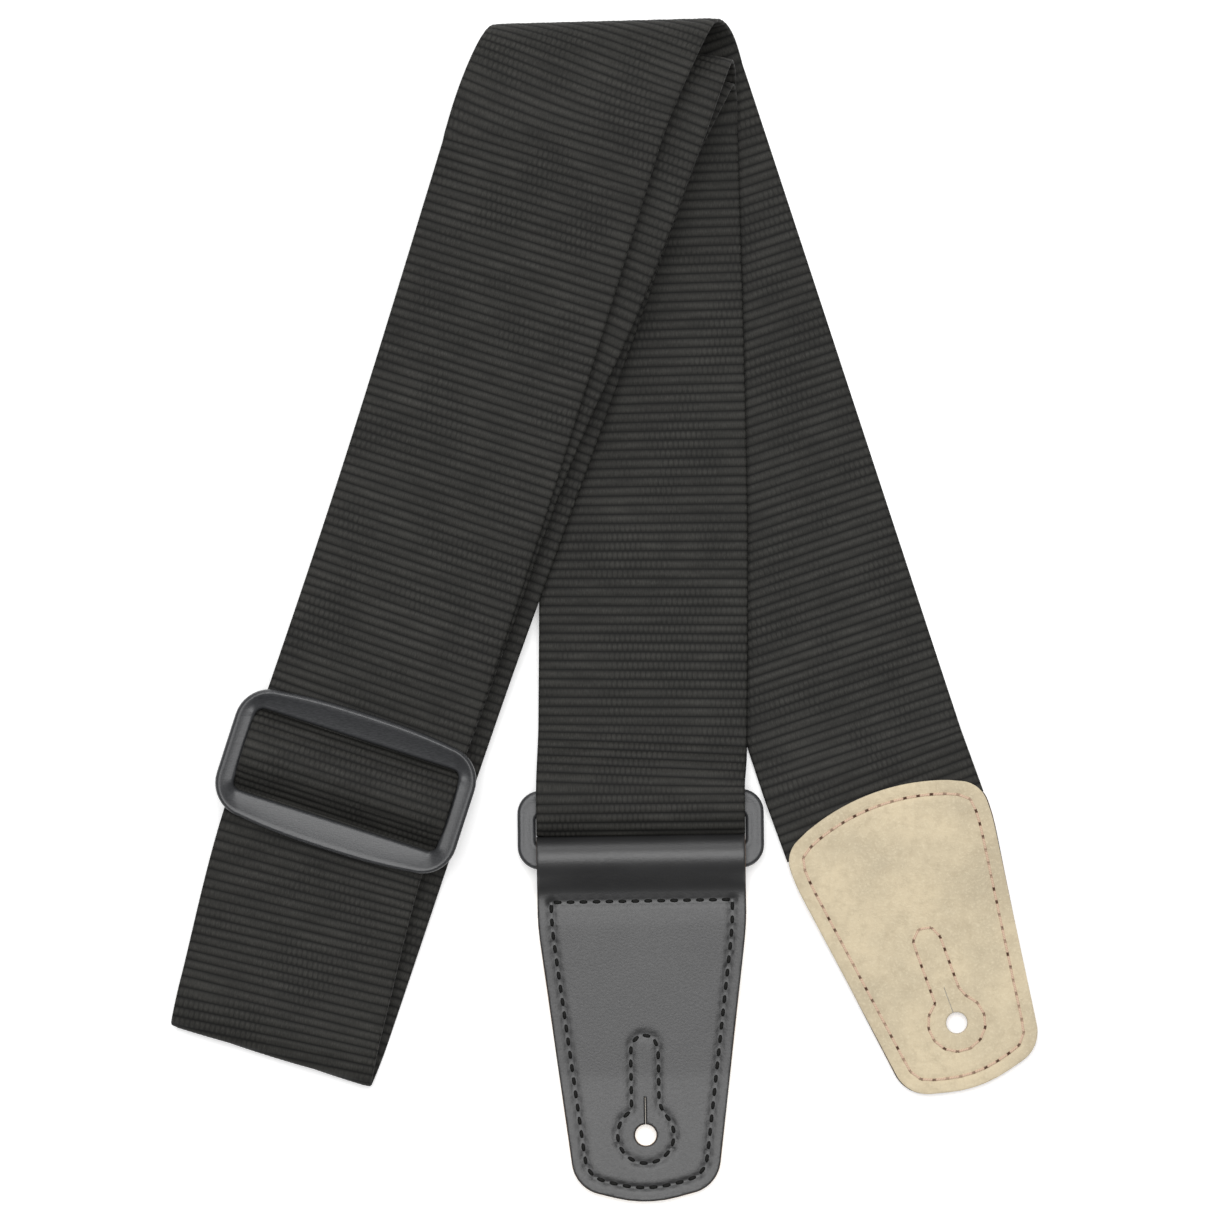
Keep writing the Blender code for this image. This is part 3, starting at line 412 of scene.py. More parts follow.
def webbing_stretches():
    """The name and stations of each stretch of the webbing, from the right tab to the sewn run's start."""
    folds = (OUTER_FOLD, MIDDLE_FOLD, INNER_FOLD, LOWER_FOLD)
    outer, middle, inner, lower = (fold_axis(shape[0]) for shape in folds)
    right_dir = direction(RIGHT_TOP, RIGHT_LEVEL_END)
    square_to_tab = TAB_A_FRAME.to_3x3() @ Vector((1.0, 0.0, 0.0))
    flex_top = BEND + TAB_A_UP * FLEX_HALF

    slider = Vector(SLIDER_AT)
    front_end = slider + FRONT_ALONG * (PASS_TOP + GAP)
    half_way = front_end.lerp(Vector(FRONT_TOP), 0.4) + FRONT_ACROSS * FRONT_EASE[1]
    front_end += FRONT_ACROSS * FRONT_EASE[0]
    front_start = slider + FRONT_ALONG * (PASS_BOTTOM - GAP) - FRONT_ACROSS * FRONT_SHIFT
    front = run([FRONT_TOP, half_way, front_end, front_start, FRONT_BOTTOM], outer, lower)
    cut = min(range(len(front)), key=lambda i: (front[i][0] - front_end).length)
    lower_in, lower_out = direction(front_start, FRONT_BOTTOM), direction(RETURN_BOTTOM, RETURN_MIDDLE[0])

    down = Vector((CENTRE_LEAN, -1.0, 0.0)).normalized()
    return_dir = direction(RETURN_MIDDLE[1], RETURN_TOP)
    sewn_dir = direction(SEWN_RUN_MIDDLE[1], SEWN_RUN_TOP)
    level_x, waist_y = RING_X + CENTRE_SHIFT, RING_TOP_BAR_Y + WAIST_UP
    ring_axis = fold_axis(math.degrees(RING_YAW))
    over, under = RING_BAR_Z + TURN_RADIUS, RING_BAR_Z - TURN_RADIUS
    centre_front = [INNER_END, (level_x, CENTRE_MIDDLE_Y, Z_LAYER_3), (level_x, FRONT_LEVEL_END_Y, Z_LAYER_3)]
    centre_front += [(RING_X, waist_y, over - FRONT_WAIST_DROP), (RING_X, RING_TOP_BAR_Y, over)]
    centre_back = [MIDDLE_END, (level_x, CENTRE_MIDDLE_Y, Z_LAYER_2), (level_x, BACK_LEVEL_END_Y, Z_LAYER_2)]
    centre_back += [(RING_X, waist_y, under + BACK_WAIST_RISE), (RING_X, RING_TOP_BAR_Y, under)]
    sewn_start = slider + FRONT_ALONG * (SEWN_LENGTH + GAP) + FRONT_ABOVE * SEWN_LEVEL
    sewn_start += FRONT_ACROSS * (SEWN_LEAN * SEWN_LENGTH)
    return [
        ("tab_bend", run([flex_top, BEND - TAB_A_UP * IN_TAB])[::-1]),
        ("right_run", run([RIGHT_TOP, RIGHT_LEVEL_END, flex_top], outer, square_to_tab)[::-1]),
        ("outer_fold", fold(FRONT_TOP, FRONT_DIR, RIGHT_TOP, right_dir, OUTER_FOLD)[::-1]),
        ("front_upper", front[: cut + 1]),
        ("front_lower", front[cut:]),
        ("lower_fold", fold(FRONT_BOTTOM, lower_in, RETURN_BOTTOM, lower_out, LOWER_FOLD, -1.0)),
        ("return_run", run([RETURN_BOTTOM, *RETURN_MIDDLE, RETURN_TOP], lower, inner)),
        ("inner_fold", fold(RETURN_TOP, return_dir, INNER_END, down, INNER_FOLD)),
        ("centre_front", run(centre_front, inner, ring_axis, 2.0)),
        ("ring_turn", ring_turn()),
        ("centre_back", run(centre_back, middle, ring_axis, 2.0)[::-1]),
        ("middle_fold", fold(SEWN_RUN_TOP, sewn_dir, MIDDLE_END, down, MIDDLE_FOLD)[::-1]),
        ("sewn_run", run([sewn_start, *SEWN_RUN_MIDDLE, SEWN_RUN_TOP], FRONT_ACROSS, middle)[::-1]),
    ]


class Path:
    """Evenly spaced rows along stations: centre, half cross line, direction and normal of each row."""

    def __init__(self, stretches, first_row=0):
        points, across, starts = [], [], {}
        for name, stations in stretches:
            starts[name] = max(len(points) - 1, 0)
            for point, side in stations:
                if points and (point - points[-1]).length < 0.02:
                    continue
                if across and side.dot(across[-1]) < 0:
                    side = -side
                points.append(point)
                across.append(side)
        points, across = np.array(points), np.array(across)
        known = walked(points)
        self.length = known[-1]
        count = int(self.length / ROW) + 1
        at = np.linspace(0.0, self.length, count)
        self.centre = hermite(known, points, at)
        self.across = hermite(known, across, at)
        self.along = first_row * ROW + np.arange(count) * ROW
        ahead = np.gradient(self.centre, axis=0)
        self.ahead = ahead / np.linalg.norm(ahead, axis=1)[:, None]
        normal = np.cross(self.across, self.ahead)
        self.normal = normal / np.linalg.norm(normal, axis=1)[:, None]
        self.rows = {name: int(round(known[i] / RIB)) * 4 for name, i in starts.items()}
        self.last = count - 1


def hermite(known, values, at):
    """Values at some distances along a smooth curve through the known ones."""
    slope = np.gradient(values, known, axis=0)
    i = np.clip(np.searchsorted(known, at, side="right") - 1, 0, len(known) - 2)
    h = (known[i + 1] - known[i])[:, None]
    t = ((at - known[i])[:, None]) / h
    a, b, m, n = values[i], values[i + 1], slope[i] * h, slope[i + 1] * h
    ends = (2 * t**3 - 3 * t**2 + 1) * a + (3 * t**2 - 2 * t**3) * b
    return ends + (t**3 - 2 * t**2 + t) * m + (t**3 - t**2) * n


# -------- woven strips


def section():
    """The webbing's cross section: distance across, side (1 top, -1 back, 0 edge) and column number."""
    columns = range(-BUMP_COLUMNS, BUMP_COLUMNS + 1)
    last = BUMP_COLUMNS + 1
    top = [(c * COLUMN, 1.0, c) for c in columns]
    top = [(-SELVEDGE_IN, 1.0, -last)] + top + [(SELVEDGE_IN, 1.0, last)]
    back = [(x, -1.0, c) for x, _, c in reversed(top)]
    return np.array(top + [(WEB_HALF, 0.0, last + 1)] + back + [(-WEB_HALF, 0.0, -last - 1)])


SECTION = section()


def weave_depth(along, column, u):
    """How far the surface lies below the webbing's full thickness, with u in mm from the middle."""
    phase = along / RIB
    rib = np.abs(np.sin(math.pi * phase)) ** 0.8
    bump = np.abs(np.cos(math.pi * (column + np.floor(phase)) / 2))
    depth = WEAVE_DEEP * (1 - rib * (1 - BUMP_SHARE + BUMP_SHARE * bump))
    depth += SELVEDGE_DEEP * np.exp(-(((np.abs(u) - SELVEDGE_LINE) / SELVEDGE_SOFT) ** 2))
    return depth + EDGE_DROP * (np.abs(u) >= SELVEDGE_IN)


def woven(name, path, first, last, thick=WEB_THICK):
    """A closed strip of webbing along some of a path's rows. It goes one row on into each neighbour, a little
    below its surface, so that the shading runs on across the join."""
    low, high = max(first - 1, 0), min(last + 1, path.last)
    rows = slice(low, high + 1)
    sunk = np.zeros(high - low + 1)
    sunk[0], sunk[-1] = SINK * (low < first), SINK * (high > last)
    centre, across, normal = path.centre[rows], path.across[rows], path.normal[rows]
    u, side, column = SECTION.T
    share = u / WEB_HALF
    drift = np.sum(across * path.ahead[rows], axis=1)
    along = path.along[rows][:, None] + drift[:, None] * share[None, :]
    depth = weave_depth(along, column[None, :], u[None, :])
    reach = side[None, :] * np.maximum(thick / 2 - depth - sunk[:, None], THINNEST)
    verts = centre[:, None, :] + across[:, None, :] * share[None, :, None]
    verts = verts + normal[:, None, :] * reach[:, :, None]
    n, m = reach.shape
    index = np.arange(n * m).reshape(n, m)
    a, b = index[:-1], index[1:]
    quads = np.stack([a, np.roll(a, -1, 1), np.roll(b, -1, 1), b], axis=-1).reshape(-1, 4)
    half_ring = (m - 2) // 2
    caps = []
    for ring, flip in ((index[0], False), (index[-1], True)):
        left, right = ring[-1], ring[half_ring]
        tops = [left, *ring[:half_ring], right]
        backs = [left, *ring[half_ring + 1 : -1][::-1], right]
        for corners in zip(tops, tops[1:], backs[1:], backs):
            face = list(dict.fromkeys(corners))
            caps.append(face[::-1] if flip else face)
    uv = np.stack([np.broadcast_to(column / 2, along.shape), along / RIB], axis=-1).reshape(-1, 2)
    return new_piece(name, world(verts.reshape(-1, 3)), list(quads) + caps, WEBBING, ("weave", uv))


# -------- materials


class Look:
    """A material and short ways to write its nodes. A value is a number, a colour or a node's output."""

    def __init__(self, name, roughness, specular):
        self.made = bpy.data.materials.new(name)
        self.made.use_nodes = True
        self.tree = self.made.node_tree
        self.shader = self.tree.nodes["Principled BSDF"]
        self.put("Roughness", roughness)
        self.put("Specular IOR Level", specular)

    def put(self, socket, value, node=None):
        socket = (node or self.shader).inputs[socket]
        if isinstance(value, bpy.types.NodeSocket):
            self.tree.links.new(value, socket)
        else:
            socket.default_value = (*value, 1.0) if socket.type == "RGBA" else value

    def node(self, kind, sockets, **settings):
        """The outputs of a new node, with its sockets' values by name or number."""
        node = self.tree.nodes.new("ShaderNode" + kind)
        for key, value in settings.items():
            setattr(node, key, value)
        for socket, value in sockets.items():
            self.put(socket, value, node)
        return node.outputs

    def do(self, operation, *values, clamp=False):
        return self.node("Math", dict(enumerate(values)), operation=operation, use_clamp=clamp)[0]

    def noise(self, vector, scale, detail=3.0, rough=0.5):
        sockets = {"Vector": vector, "Scale": scale, "Detail": detail, "Roughness": rough}
        return self.node("TexNoise", sockets)[0]

    def mix(self, share, a, b):
        return self.node("Mix", {0: share, 6: a, 7: b}, data_type="RGBA")[2]

    def ramp(self, value, low, high):
        return self.node("MapRange", {"Value": value, "From Min": low, "From Max": high})[0]

    def scaled(self, vector, scale):
        return self.node("Mapping", {"Vector": vector, "Scale": scale})[0]

    def place(self):
        return self.node("TexCoord", {})["Object"]

    def uv(self, name):
        return self.node("UVMap", {}, uv_map=name)[0]

    def split(self, vector):
        return self.node("SeparateXYZ", {0: vector})[:2]

    def bump(self, height, strength, distance):
        sockets = {"Height": height, "Strength": strength, "Distance": distance}
        self.put("Normal", self.node("Bump", sockets)[0])


def webbing_material():
    """Ribs across the strip, warp bumps on them that are bolder in some patches, and uneven dull fibres, with
    painted shade in the gaps between the ribs and bumps.
    """
    look = Look("black_webbing", 0.7, 0.22)
    do, ramp, noise, mix, place = look.do, look.ramp, look.noise, look.mix, look.place()
    weave = look.uv("weave")
    column, rib = look.split(weave)
    ridge = do("ABSOLUTE", do("SINE", do("MULTIPLY", rib, math.pi)))
    shift = do("MULTIPLY", do("MODULO", do("FLOOR", rib), 2.0), 0.5)
    bump = do("ABSOLUTE", do("COSINE", do("MULTIPLY", do("ADD", column, shift), math.pi)))
    bold = do("MULTIPLY_ADD", ramp(noise(place, 80.0, 2.0), 0.42, 0.62), 0.8, 0.2)
    bump = do("MULTIPLY_ADD", do("SUBTRACT", bump, 1.0), bold, 1.0)
    lift = do("MULTIPLY", do("POWER", ridge, 0.8), do("MULTIPLY_ADD", bump, 0.55, 0.45))
    strands = noise(look.scaled(weave, (7.0, 1.6, 1.0)), 1.0, 3.0, 0.65)
    streak = noise(look.scaled(weave, (0.13, 1.25, 1.0)), 1.0, 2.0)
    lit = mix(ramp(noise(place, 55.0), 0.3, 0.7), (0.0185, 0.0179, 0.0158), (0.03, 0.0291, 0.026))
    lit = mix(ramp(strands, 0.42, 0.8), lit, (0.056, 0.0546, 0.0495))
    lit = mix(do("MULTIPLY", ramp(streak, 0.35, 0.7), 0.5), lit, (0.009, 0.0088, 0.0078))
    # painted shade: where the rib height falls, the gaps between ribs and bumps take a darker colour than the
    # lit rib tops
    look.put("Base Color", mix(ramp(lift, 0.1, 0.85), (0.0042, 0.0042, 0.0038), lit))
    look.bump(do("ADD", do("MULTIPLY", lift, 0.7), do("MULTIPLY", strands, 0.3)), 0.5, 0.00025)
    return look.made


def leather_material():
    """Fine-grained black leather, brown where the map "edge" says that its core shows."""
    look = Look("black_leather", 0.4, 0.55)
    place = look.place()
    grain = look.noise(place, 1900.0, 4.0, 0.6)
    cloud = look.ramp(look.noise(place, 90.0), 0.3, 0.7)
    shade = look.mix(cloud, (0.017, 0.017, 0.0175), (0.023, 0.023, 0.0235))
    cut = look.ramp(look.split(look.uv("edge"))[0], 0.4, 0.75)
    look.put("Base Color", look.mix(cut, shade, (0.26, 0.13, 0.055)))
    look.put("Roughness", look.do("MULTIPLY_ADD", grain, 0.14, 0.34))
    look.bump(grain, 0.16, 0.0003)
    return look.made


def suede_material():
    """Pale napped suede with soft clouds, flecks and lighter nap."""
    look = Look("suede_back", 0.95, 0.15)
    place = look.place()
    nap = look.noise(place, 1500.0, 5.0, 0.7)
    cloud, fleck = look.noise(place, 60.0, 3.0, 0.55), look.noise(place, 420.0, 3.0, 0.6)
    shade = look.mix(look.ramp(cloud, 0.38, 0.66), (0.66, 0.56, 0.39), (0.525, 0.45, 0.32))
    shade = look.mix(look.ramp(fleck, 0.45, 0.95), shade, (0.48, 0.40, 0.275))
    look.put("Base Color", look.mix(look.ramp(nap, 0.5, 0.85), shade, (0.74, 0.65, 0.47)))
    look.put("Sheen Weight", 0.15)
    look.bump(nap, 0.45, 0.0006)
    return look.made


def plastic_material():
    """Black plastic, a little rubbed along the bars."""
    look = Look("black_plastic", 0.4, 0.5)
    place = look.place()
    fine = look.noise(look.scaled(place, (1.0, 6.0, 6.0)), 700.0, 3.0, 0.6)
    grain = look.noise(place, 2600.0, 2.0)
    look.put("Base Color", look.mix(look.ramp(fine, 0.35, 0.7), (0.024, 0.025, 0.027), (0.042, 0.043, 0.046)))
    look.put("Roughness", look.do("MULTIPLY_ADD", fine, 0.22, 0.28))
    look.bump(look.do("ADD", fine, look.do("MULTIPLY", grain, 0.5)), 0.18, 0.0002)
    return look.made


def thread_material(name, ply_groove_shade, light, hole_shade, rough):
    """Plied thread with painted shade in the grooves between its plies, and painted shade towards some of its
    needle holes, where it dives into the leather.
    """
    look = Look(name, rough, 0.2)
    do, place = look.do, look.place()
    along, around = look.split(look.uv("thread"))
    # painted shade: the thread darkens towards its needle holes, on some stitches more than others
    hole_shade_share = look.ramp(do("ABSOLUTE", do("SUBTRACT", along, STITCH / 2)), 1.0, 1.3)
    uneven = look.ramp(look.noise(place, 170.0, 1.0), 0.4, 0.55)
    hole_shade_share = do("MULTIPLY", hole_shade_share, do("MULTIPLY_ADD", uneven, 0.6, 0.4))
    # painted shade: the grooves between the plies take the darker colour and the crests the lighter one,
    # broken up by fuzz
    ply = do("ABSOLUTE", do("SINE", do("ADD", do("MULTIPLY", along, 5.0), do("MULTIPLY", around, math.pi))))
    fuzz = do("MULTIPLY_ADD", look.noise(place, 2400.0, 2.0), 0.6, 0.55)
    share = do("MULTIPLY", do("POWER", ply, 0.6), fuzz, clamp=True)
    look.put("Base Color", look.mix(hole_shade_share, look.mix(share, ply_groove_shade, light), hole_shade))
    look.bump(ply, 0.4, 0.0001)
    return look.made


def floor_material():
    look = Look("studio_floor", 0.9, 0.1)
    look.put("Base Color", (0.93, 0.93, 0.93))
    look.put("Emission Color", (1.0, 1.0, 1.0))
    look.put("Emission Strength", 0.3)
    return look.made


WEBBING = webbing_material()
LEATHER_FACE = leather_material()
SUEDE = suede_material()
PLASTIC = plastic_material()
# each thread's colours: in the ply grooves (painted shade), on the ply crests, and at the needle holes
# (painted shade)
BLACKS = (0.003, 0.003, 0.003), (0.010, 0.010, 0.009), (0.004, 0.004, 0.004)
TANS = (0.50, 0.34, 0.24), (0.66, 0.49, 0.37), (0.085, 0.042, 0.026)
BLACK_THREAD = thread_material("black_thread", *BLACKS, 0.7)
TAN_THREAD = thread_material("tan_thread", *TANS, 0.8)

# -------- outlines


def rounded(corners, degrees=6.0):
    """An outline from corners (x, y, radius), with an arc in steps of some degrees at each radius."""
    outline = []
    for i, (x, y, radius) in enumerate(corners):
        here = Vector((x, y))
        before = (Vector(corners[i - 1][:2]) - here).normalized()
        after = (Vector(corners[(i + 1) % len(corners)][:2]) - here).normalized()
        if radius <= 0:
            outline.append(here)
            continue
        half = before.angle(after) / 2
        centre = here + (before + after).normalized() * (radius / math.sin(half))
        first = here + before * (radius / math.tan(half)) - centre
        sweep = first.angle_signed(here + after * (radius / math.tan(half)) - centre)
        count = max(2, math.ceil(abs(math.degrees(sweep)) / degrees))
        for k in range(count + 1):
            turn = -sweep * k / count
            c, s = math.cos(turn), math.sin(turn)
            outline.append(centre + Vector((first.x * c - first.y * s, first.x * s + first.y * c)))
    return outline


def tip_corners(shoulder):
    x, y = TIP_CORNER
    return [
        (-TAB_HALF, *shoulder),
        (-x, y, TIP_CORNER_RADIUS),
        (0.0, TIP_POINT_Y, TIP_RADIUS),
        (x, y, TIP_CORNER_RADIUS),
        (TAB_HALF, *shoulder),
    ]


def square_outline(top_y):
    return rounded(tip_corners(TAB_B_SHOULDER) + [(TAB_HALF, top_y, 0.0), (-TAB_HALF, top_y, 0.0)])


def arched_outline():
    centre = ARCH_TOP_Y - ARCH_RADIUS
    arch = [(x, centre + math.sqrt(ARCH_RADIUS**2 - x * x), 0.0) for x in np.linspace(18.0, -18.0, 19)]
    corner_y = centre + math.sqrt(ARCH_RADIUS**2 - TAB_HALF**2)
    corners = [(TAB_HALF, corner_y, ARCH_CORNER)] + arch + [(-TAB_HALF, corner_y, ARCH_CORNER)]
    return rounded(tip_corners(TAB_A_SHOULDER) + corners)


def closed(line):
    return line + line[:1]


def inset(outline, by):
    """The outline moved inwards by a distance, corner by corner."""
    area = sum(a.x * b.y - b.x * a.y for a, b in zip(outline, outline[1:] + outline[:1]))
    side = 1.0 if area > 0 else -1.0
    moved = []
    for i, here in enumerate(outline):
        before = (here - outline[i - 1]).normalized()
        after = (outline[(i + 1) % len(outline)] - here).normalized()
        normal = Vector((-(before.y + after.y), before.x + after.x)).normalized() * side
        square = Vector((-before.y, before.x)) * side
        moved.append(here + normal * (by / max(0.3, normal.dot(square))))
    return moved


def around_hole(radius, half, top):
    """A circle about the button hole that opens into a slot of a given half width, up to top."""
    start = math.asin(half / radius)
    points = []
    for turn in np.linspace(math.pi / 2 + start, 5 * math.pi / 2 - start, 41):
        points.append(Vector((radius * math.cos(turn), radius * math.sin(turn))))
    return points + top


def hole_outline():
    slit_end = [Vector((x, SLIT_TOP_Y)) for x in (SLIT_HALF, -SLIT_HALF)]
    return around_hole(HOLE_RADIUS, SLIT_HALF, slit_end)


def keyhole_outline():
    neck, top = KEYHOLE_NECK, KEYHOLE_TOP_Y - KEYHOLE_NECK
    cap = [Vector((neck * math.cos(t), top + neck * math.sin(t))) for t in np.linspace(0.0, math.pi, 13)]
    return around_hole(KEYHOLE_RADIUS, neck, cap)


# -------- leather


def flat_sheet(outline, hole, cell):
    """A flat region with two narrow rims along its edges, cut into cells of a given size: its vertices, faces
    and outer edges."""
    curve = bpy.data.curves.new("region", "CURVE")
    curve.dimensions, curve.fill_mode = "2D", "FRONT"
    for ring in (outline, hole):
        spline = curve.splines.new("POLY")
        spline.points.add(len(ring) - 1)
        for point, corner in zip(spline.points, ring):
            point.co = (corner[0], corner[1], 0.0, 1.0)
        spline.use_cyclic_u = True
    flat = bpy.data.objects.new("region", curve)
    bpy.context.scene.collection.objects.link(flat)
    mesh = bpy.data.meshes.new_from_object(flat.evaluated_get(bpy.context.evaluated_depsgraph_get()))
    bpy.data.objects.remove(flat, do_unlink=True)
    bm = bmesh.new()
    bm.from_mesh(mesh)
    bmesh.ops.remove_doubles(bm, verts=bm.verts, dist=0.001)
    inner = bm.faces[:]
    for width in RIMS:
        bmesh.ops.inset_region(bm, faces=inner, thickness=width, use_even_offset=True, use_boundary=True)
        inner = [f for f in bm.faces if not any(e.is_boundary for e in f.edges)]
    for k, normal in ((0, (1.0, 0.0, 0.0)), (1, (0.0, 1.0, 0.0))):
        low, high = (side(v.co[k] for v in bm.verts) for side in (min, max))
        count = round((high - low) / cell)
        for i in range(1, count):
            at = [0.0, 0.0, 0.0]
            at[k] = low + (high - low) * i / count
            geometry = bm.verts[:] + bm.edges[:] + bm.faces[:]
            bmesh.ops.bisect_plane(bm, geom=geometry, dist=1e-5, plane_co=at, plane_no=normal)
    bm.verts.index_update()
    verts = np.array([(v.co.x, v.co.y) for v in bm.verts])
    faces = [[v.index for v in f.verts] for f in bm.faces]
    rim = [(e.verts[0].index, e.verts[1].index) for e in bm.edges if e.is_boundary]
    bm.free()
    return verts, faces, rim


def walk(line, pitch):
    """Points along a line, at an even pitch close to the given one."""
    points = np.array([(p[0], p[1]) for p in line])
    length = walked(points)[-1]
    return resampled(points, np.linspace(0.0, length, max(2, round(length / pitch)) + 1))


def nearest(points, targets):
    """Distance from each point to the nearest of the targets."""
    best = np.full(len(points), 1e9)
    for chunk in np.array_split(targets, max(1, len(targets) // 64)):
        gap = np.linalg.norm(points[:, None, :] - chunk[None, :, :], axis=2).min(axis=1)
        best = np.minimum(best, gap)
    return best


def hollow(distance, size):
    """A soft groove or dimple of some (depth, width), at a distance from its middle."""
    return size[0] * np.exp(-((distance / size[1]) ** 2))


def leather_piece(name, outline, lines, shape, look, face=1.0):
    """A tab's leather: rounded edges, a channel along each stitched line and a dimple at each stitch hole.
    face is 1 where the good side looks up and -1 where it looks down; shape puts flat points in place."""
    hole = hole_outline()
    flat, faces, rim = flat_sheet(outline, hole, LEATHER_CELL)
    edge = nearest(flat, np.concatenate([walk(closed(outline), 0.25), walk(closed(hole), 0.15)]))
    drop = EDGE_ROUND[0] * (1 - np.sqrt(1 - (1 - np.clip(edge / EDGE_ROUND[1], 0, 1)) ** 2))
    x, y = flat.T
    by_slit = (np.abs(x) < SLIT_REACH[0]) & (y > HOLE_RADIUS) & (y < SLIT_TOP_Y + SLIT_REACH[1])
    if look is SUEDE:
        drop[by_slit] *= SLIT_DROP
    channel = np.zeros(len(flat))
    for line in lines:
        to_line, to_hole = nearest(flat, walk(line, 0.4)), nearest(flat, walk(line, STITCH))
        channel += hollow(to_line, CHANNEL) + hollow(to_hole, DIMPLE)
    top, bottom = (LEATHER - drop - channel, drop) if face > 0 else (LEATHER - drop, drop + channel)
    count = len(flat)
    verts = np.concatenate([np.column_stack([flat, top]), np.column_stack([flat, bottom])])
    wall = [(a, b, b + count, a + count) for a, b in rim]
    every = faces + [[v + count for v in reversed(f)] for f in faces] + wall
    raw = 0.9 * (1 - np.clip(edge / RAW_EDGE, 0, 1))
    raw[by_slit] = 0.0
    uv = np.column_stack([np.concatenate([raw, raw + 0.1]), np.zeros(2 * count)])
    return new_piece(name, shape(verts), every, look, ("edge", uv))


def stitches(name, lines, shape, level, face, look, slot, cover=0.62, radius=0.5, thin=0.0):
    """A row of stitches along each line, each one a short arch of thread that dives into the leather at both
    ends. cover is the share of the pitch that shows, and thin how much narrower its middle is."""
    verts, faces, uv = [], [], []
    rings, sides = 9, 8
    for line in lines:
        holes = walk(line, STITCH)
        for a, b in zip(holes[:-1], holes[1:]):
            ahead = (b - a) / np.linalg.norm(b - a)
            beside = np.array([-ahead[1], ahead[0]])
            first = len(verts)
            for i in range(rings):
                t = i / (rings - 1)
                centre = a + (b - a) * (0.5 + cover * (t - 0.5))
                arch = math.sin(math.pi * t) ** 0.6
                height = level + face * (THREAD_LIFT * arch - THREAD_LOW)
                size = radius * (0.7 + 0.3 * arch) * (1 - thin * arch)
                for k in range(sides):
                    turn = 2 * math.pi * k / sides
                    x, y = centre + beside * (size * math.cos(turn))
                    verts.append((x, y, height + size * 0.8 * math.sin(turn)))
                    uv.append((t * STITCH, turn / math.pi))
            faces += tube_faces(first, rings, sides)
    return new_piece(name, shape(np.array(verts)), faces, look, ("thread", uv))


def tube_faces(first, rings, sides):
    """The faces of a closed tube whose rings of vertices start at a given index."""
    faces = []
    for i in range(rings - 1):
        for k in range(sides):
            p, q = first + i * sides + k, first + i * sides + (k + 1) % sides
            faces.append((p, q, q + sides, p + sides))
    faces.append(tuple(first + k for k in range(sides))[::-1])
    faces.append(tuple(first + (rings - 1) * sides + k for k in range(sides)))
    return faces


def placed_by(matrix):
    """A shape that moves a piece's own points (mm) into the world by a matrix in the plan layout."""
    turn = np.array(matrix)

    def shape(points):
        return world(points @ turn[:3, :3].T + turn[:3, 3])

    return shape


def draped(profile, middle, then):
    """A shape that bends flat points to a side profile of (y, z), whose own length is their Y, and then puts
    them in place. middle is the height in the leather that follows the profile."""
    points = softened(profile, 8, 0.5)
    known = points[0, 0] + walked(points)
    ahead = np.gradient(points, known, axis=0)
    ahead /= np.linalg.norm(ahead, axis=1)[:, None]

    def shape(flat):
        y, z = flat[:, 1], flat[:, 2] - middle
        py, pz = (np.interp(y, known, points[:, k]) for k in (0, 1))
        ay, az = (np.interp(y, known, ahead[:, k]) for k in (0, 1))
        size = np.hypot(ay, az)
        return then(np.column_stack([flat[:, 0], py - az / size * z, pz + ay / size * z]))

    return shape


def tab_b_profile():
    """The face leather of tab B: flat, up over its own tail, round the ring's lower bar, and back under."""
    low = LEATHER + GAP + LEATHER / 2
    raised = low + LEATHER + GAP
    bar = Vector((TAB_B_REACH, RING_BAR_Z))
    top, under = Vector((bar.x, bar.y + ROLL_RADIUS)), Vector((bar.x, bar.y - ROLL_RADIUS))
    leave, level, end = TAB_B_RISE
    crest = Vector((end, raised))
    points = [Vector((BELOW_TIP_Y, low)), Vector((leave, low)), Vector((level, raised)), crest]
    ease = Vector((CREST_EASE, 0.0))
    points += bezier(crest, crest + ease, top - ease, top, 7)
    for i in range(1, 11):
        turn = math.pi / 2 - math.pi * i / 10
        points.append(bar + Vector((math.cos(turn), math.sin(turn))) * ROLL_RADIUS)
    tail_top, tail_end = TAB_B_TAIL
    tail, ease = Vector((tail_top, low)), Vector((TAIL_EASE, 0.0))
    points += bezier(under, under - ease, tail + ease, tail, 4)
    points.append(Vector((tail_end, low)))
    return points


def tab_a_profile():
    low = LEATHER + GAP + LEATHER / 2
    raised = low + WEB_THICK + GAP
    leave, level = TAB_A_RISE
    return [(BELOW_TIP_Y, low), (leave, low), (level, raised), (ABOVE_ARCH_Y, raised)]


# -------- moulded plastic


def loop_lane(half_x, half_y, radius, bulge=0.0, shift=0.0):
    """A rounded rectangle with a fixed number of points on each side and corner, so that two of them match.
    Bulge is how far its long sides swell at their middle."""
    lane, side_points, arc_points = [], 24, 10
    flat, tall = half_x - radius, half_y - radius
    for corner, (sx, sy) in enumerate(((1, 1), (-1, 1), (-1, -1), (1, -1))):
        for i in range(arc_points + 1):
            turn = math.radians(90.0 * corner + 90.0 * i / arc_points)
            lane.append((sx * flat + radius * math.cos(turn), sy * tall + radius * math.sin(turn) + shift))
        for i in range(1, side_points):
            left = 1 - 2 * i / side_points
            if sx == sy:
                swell = bulge * (1 - abs(left) ** 2.6)
                lane.append((sx * flat * left, sy * (half_y + swell) + shift))
            else:
                lane.append((sx * half_x, sy * tall * left + shift))
    return np.array(lane)


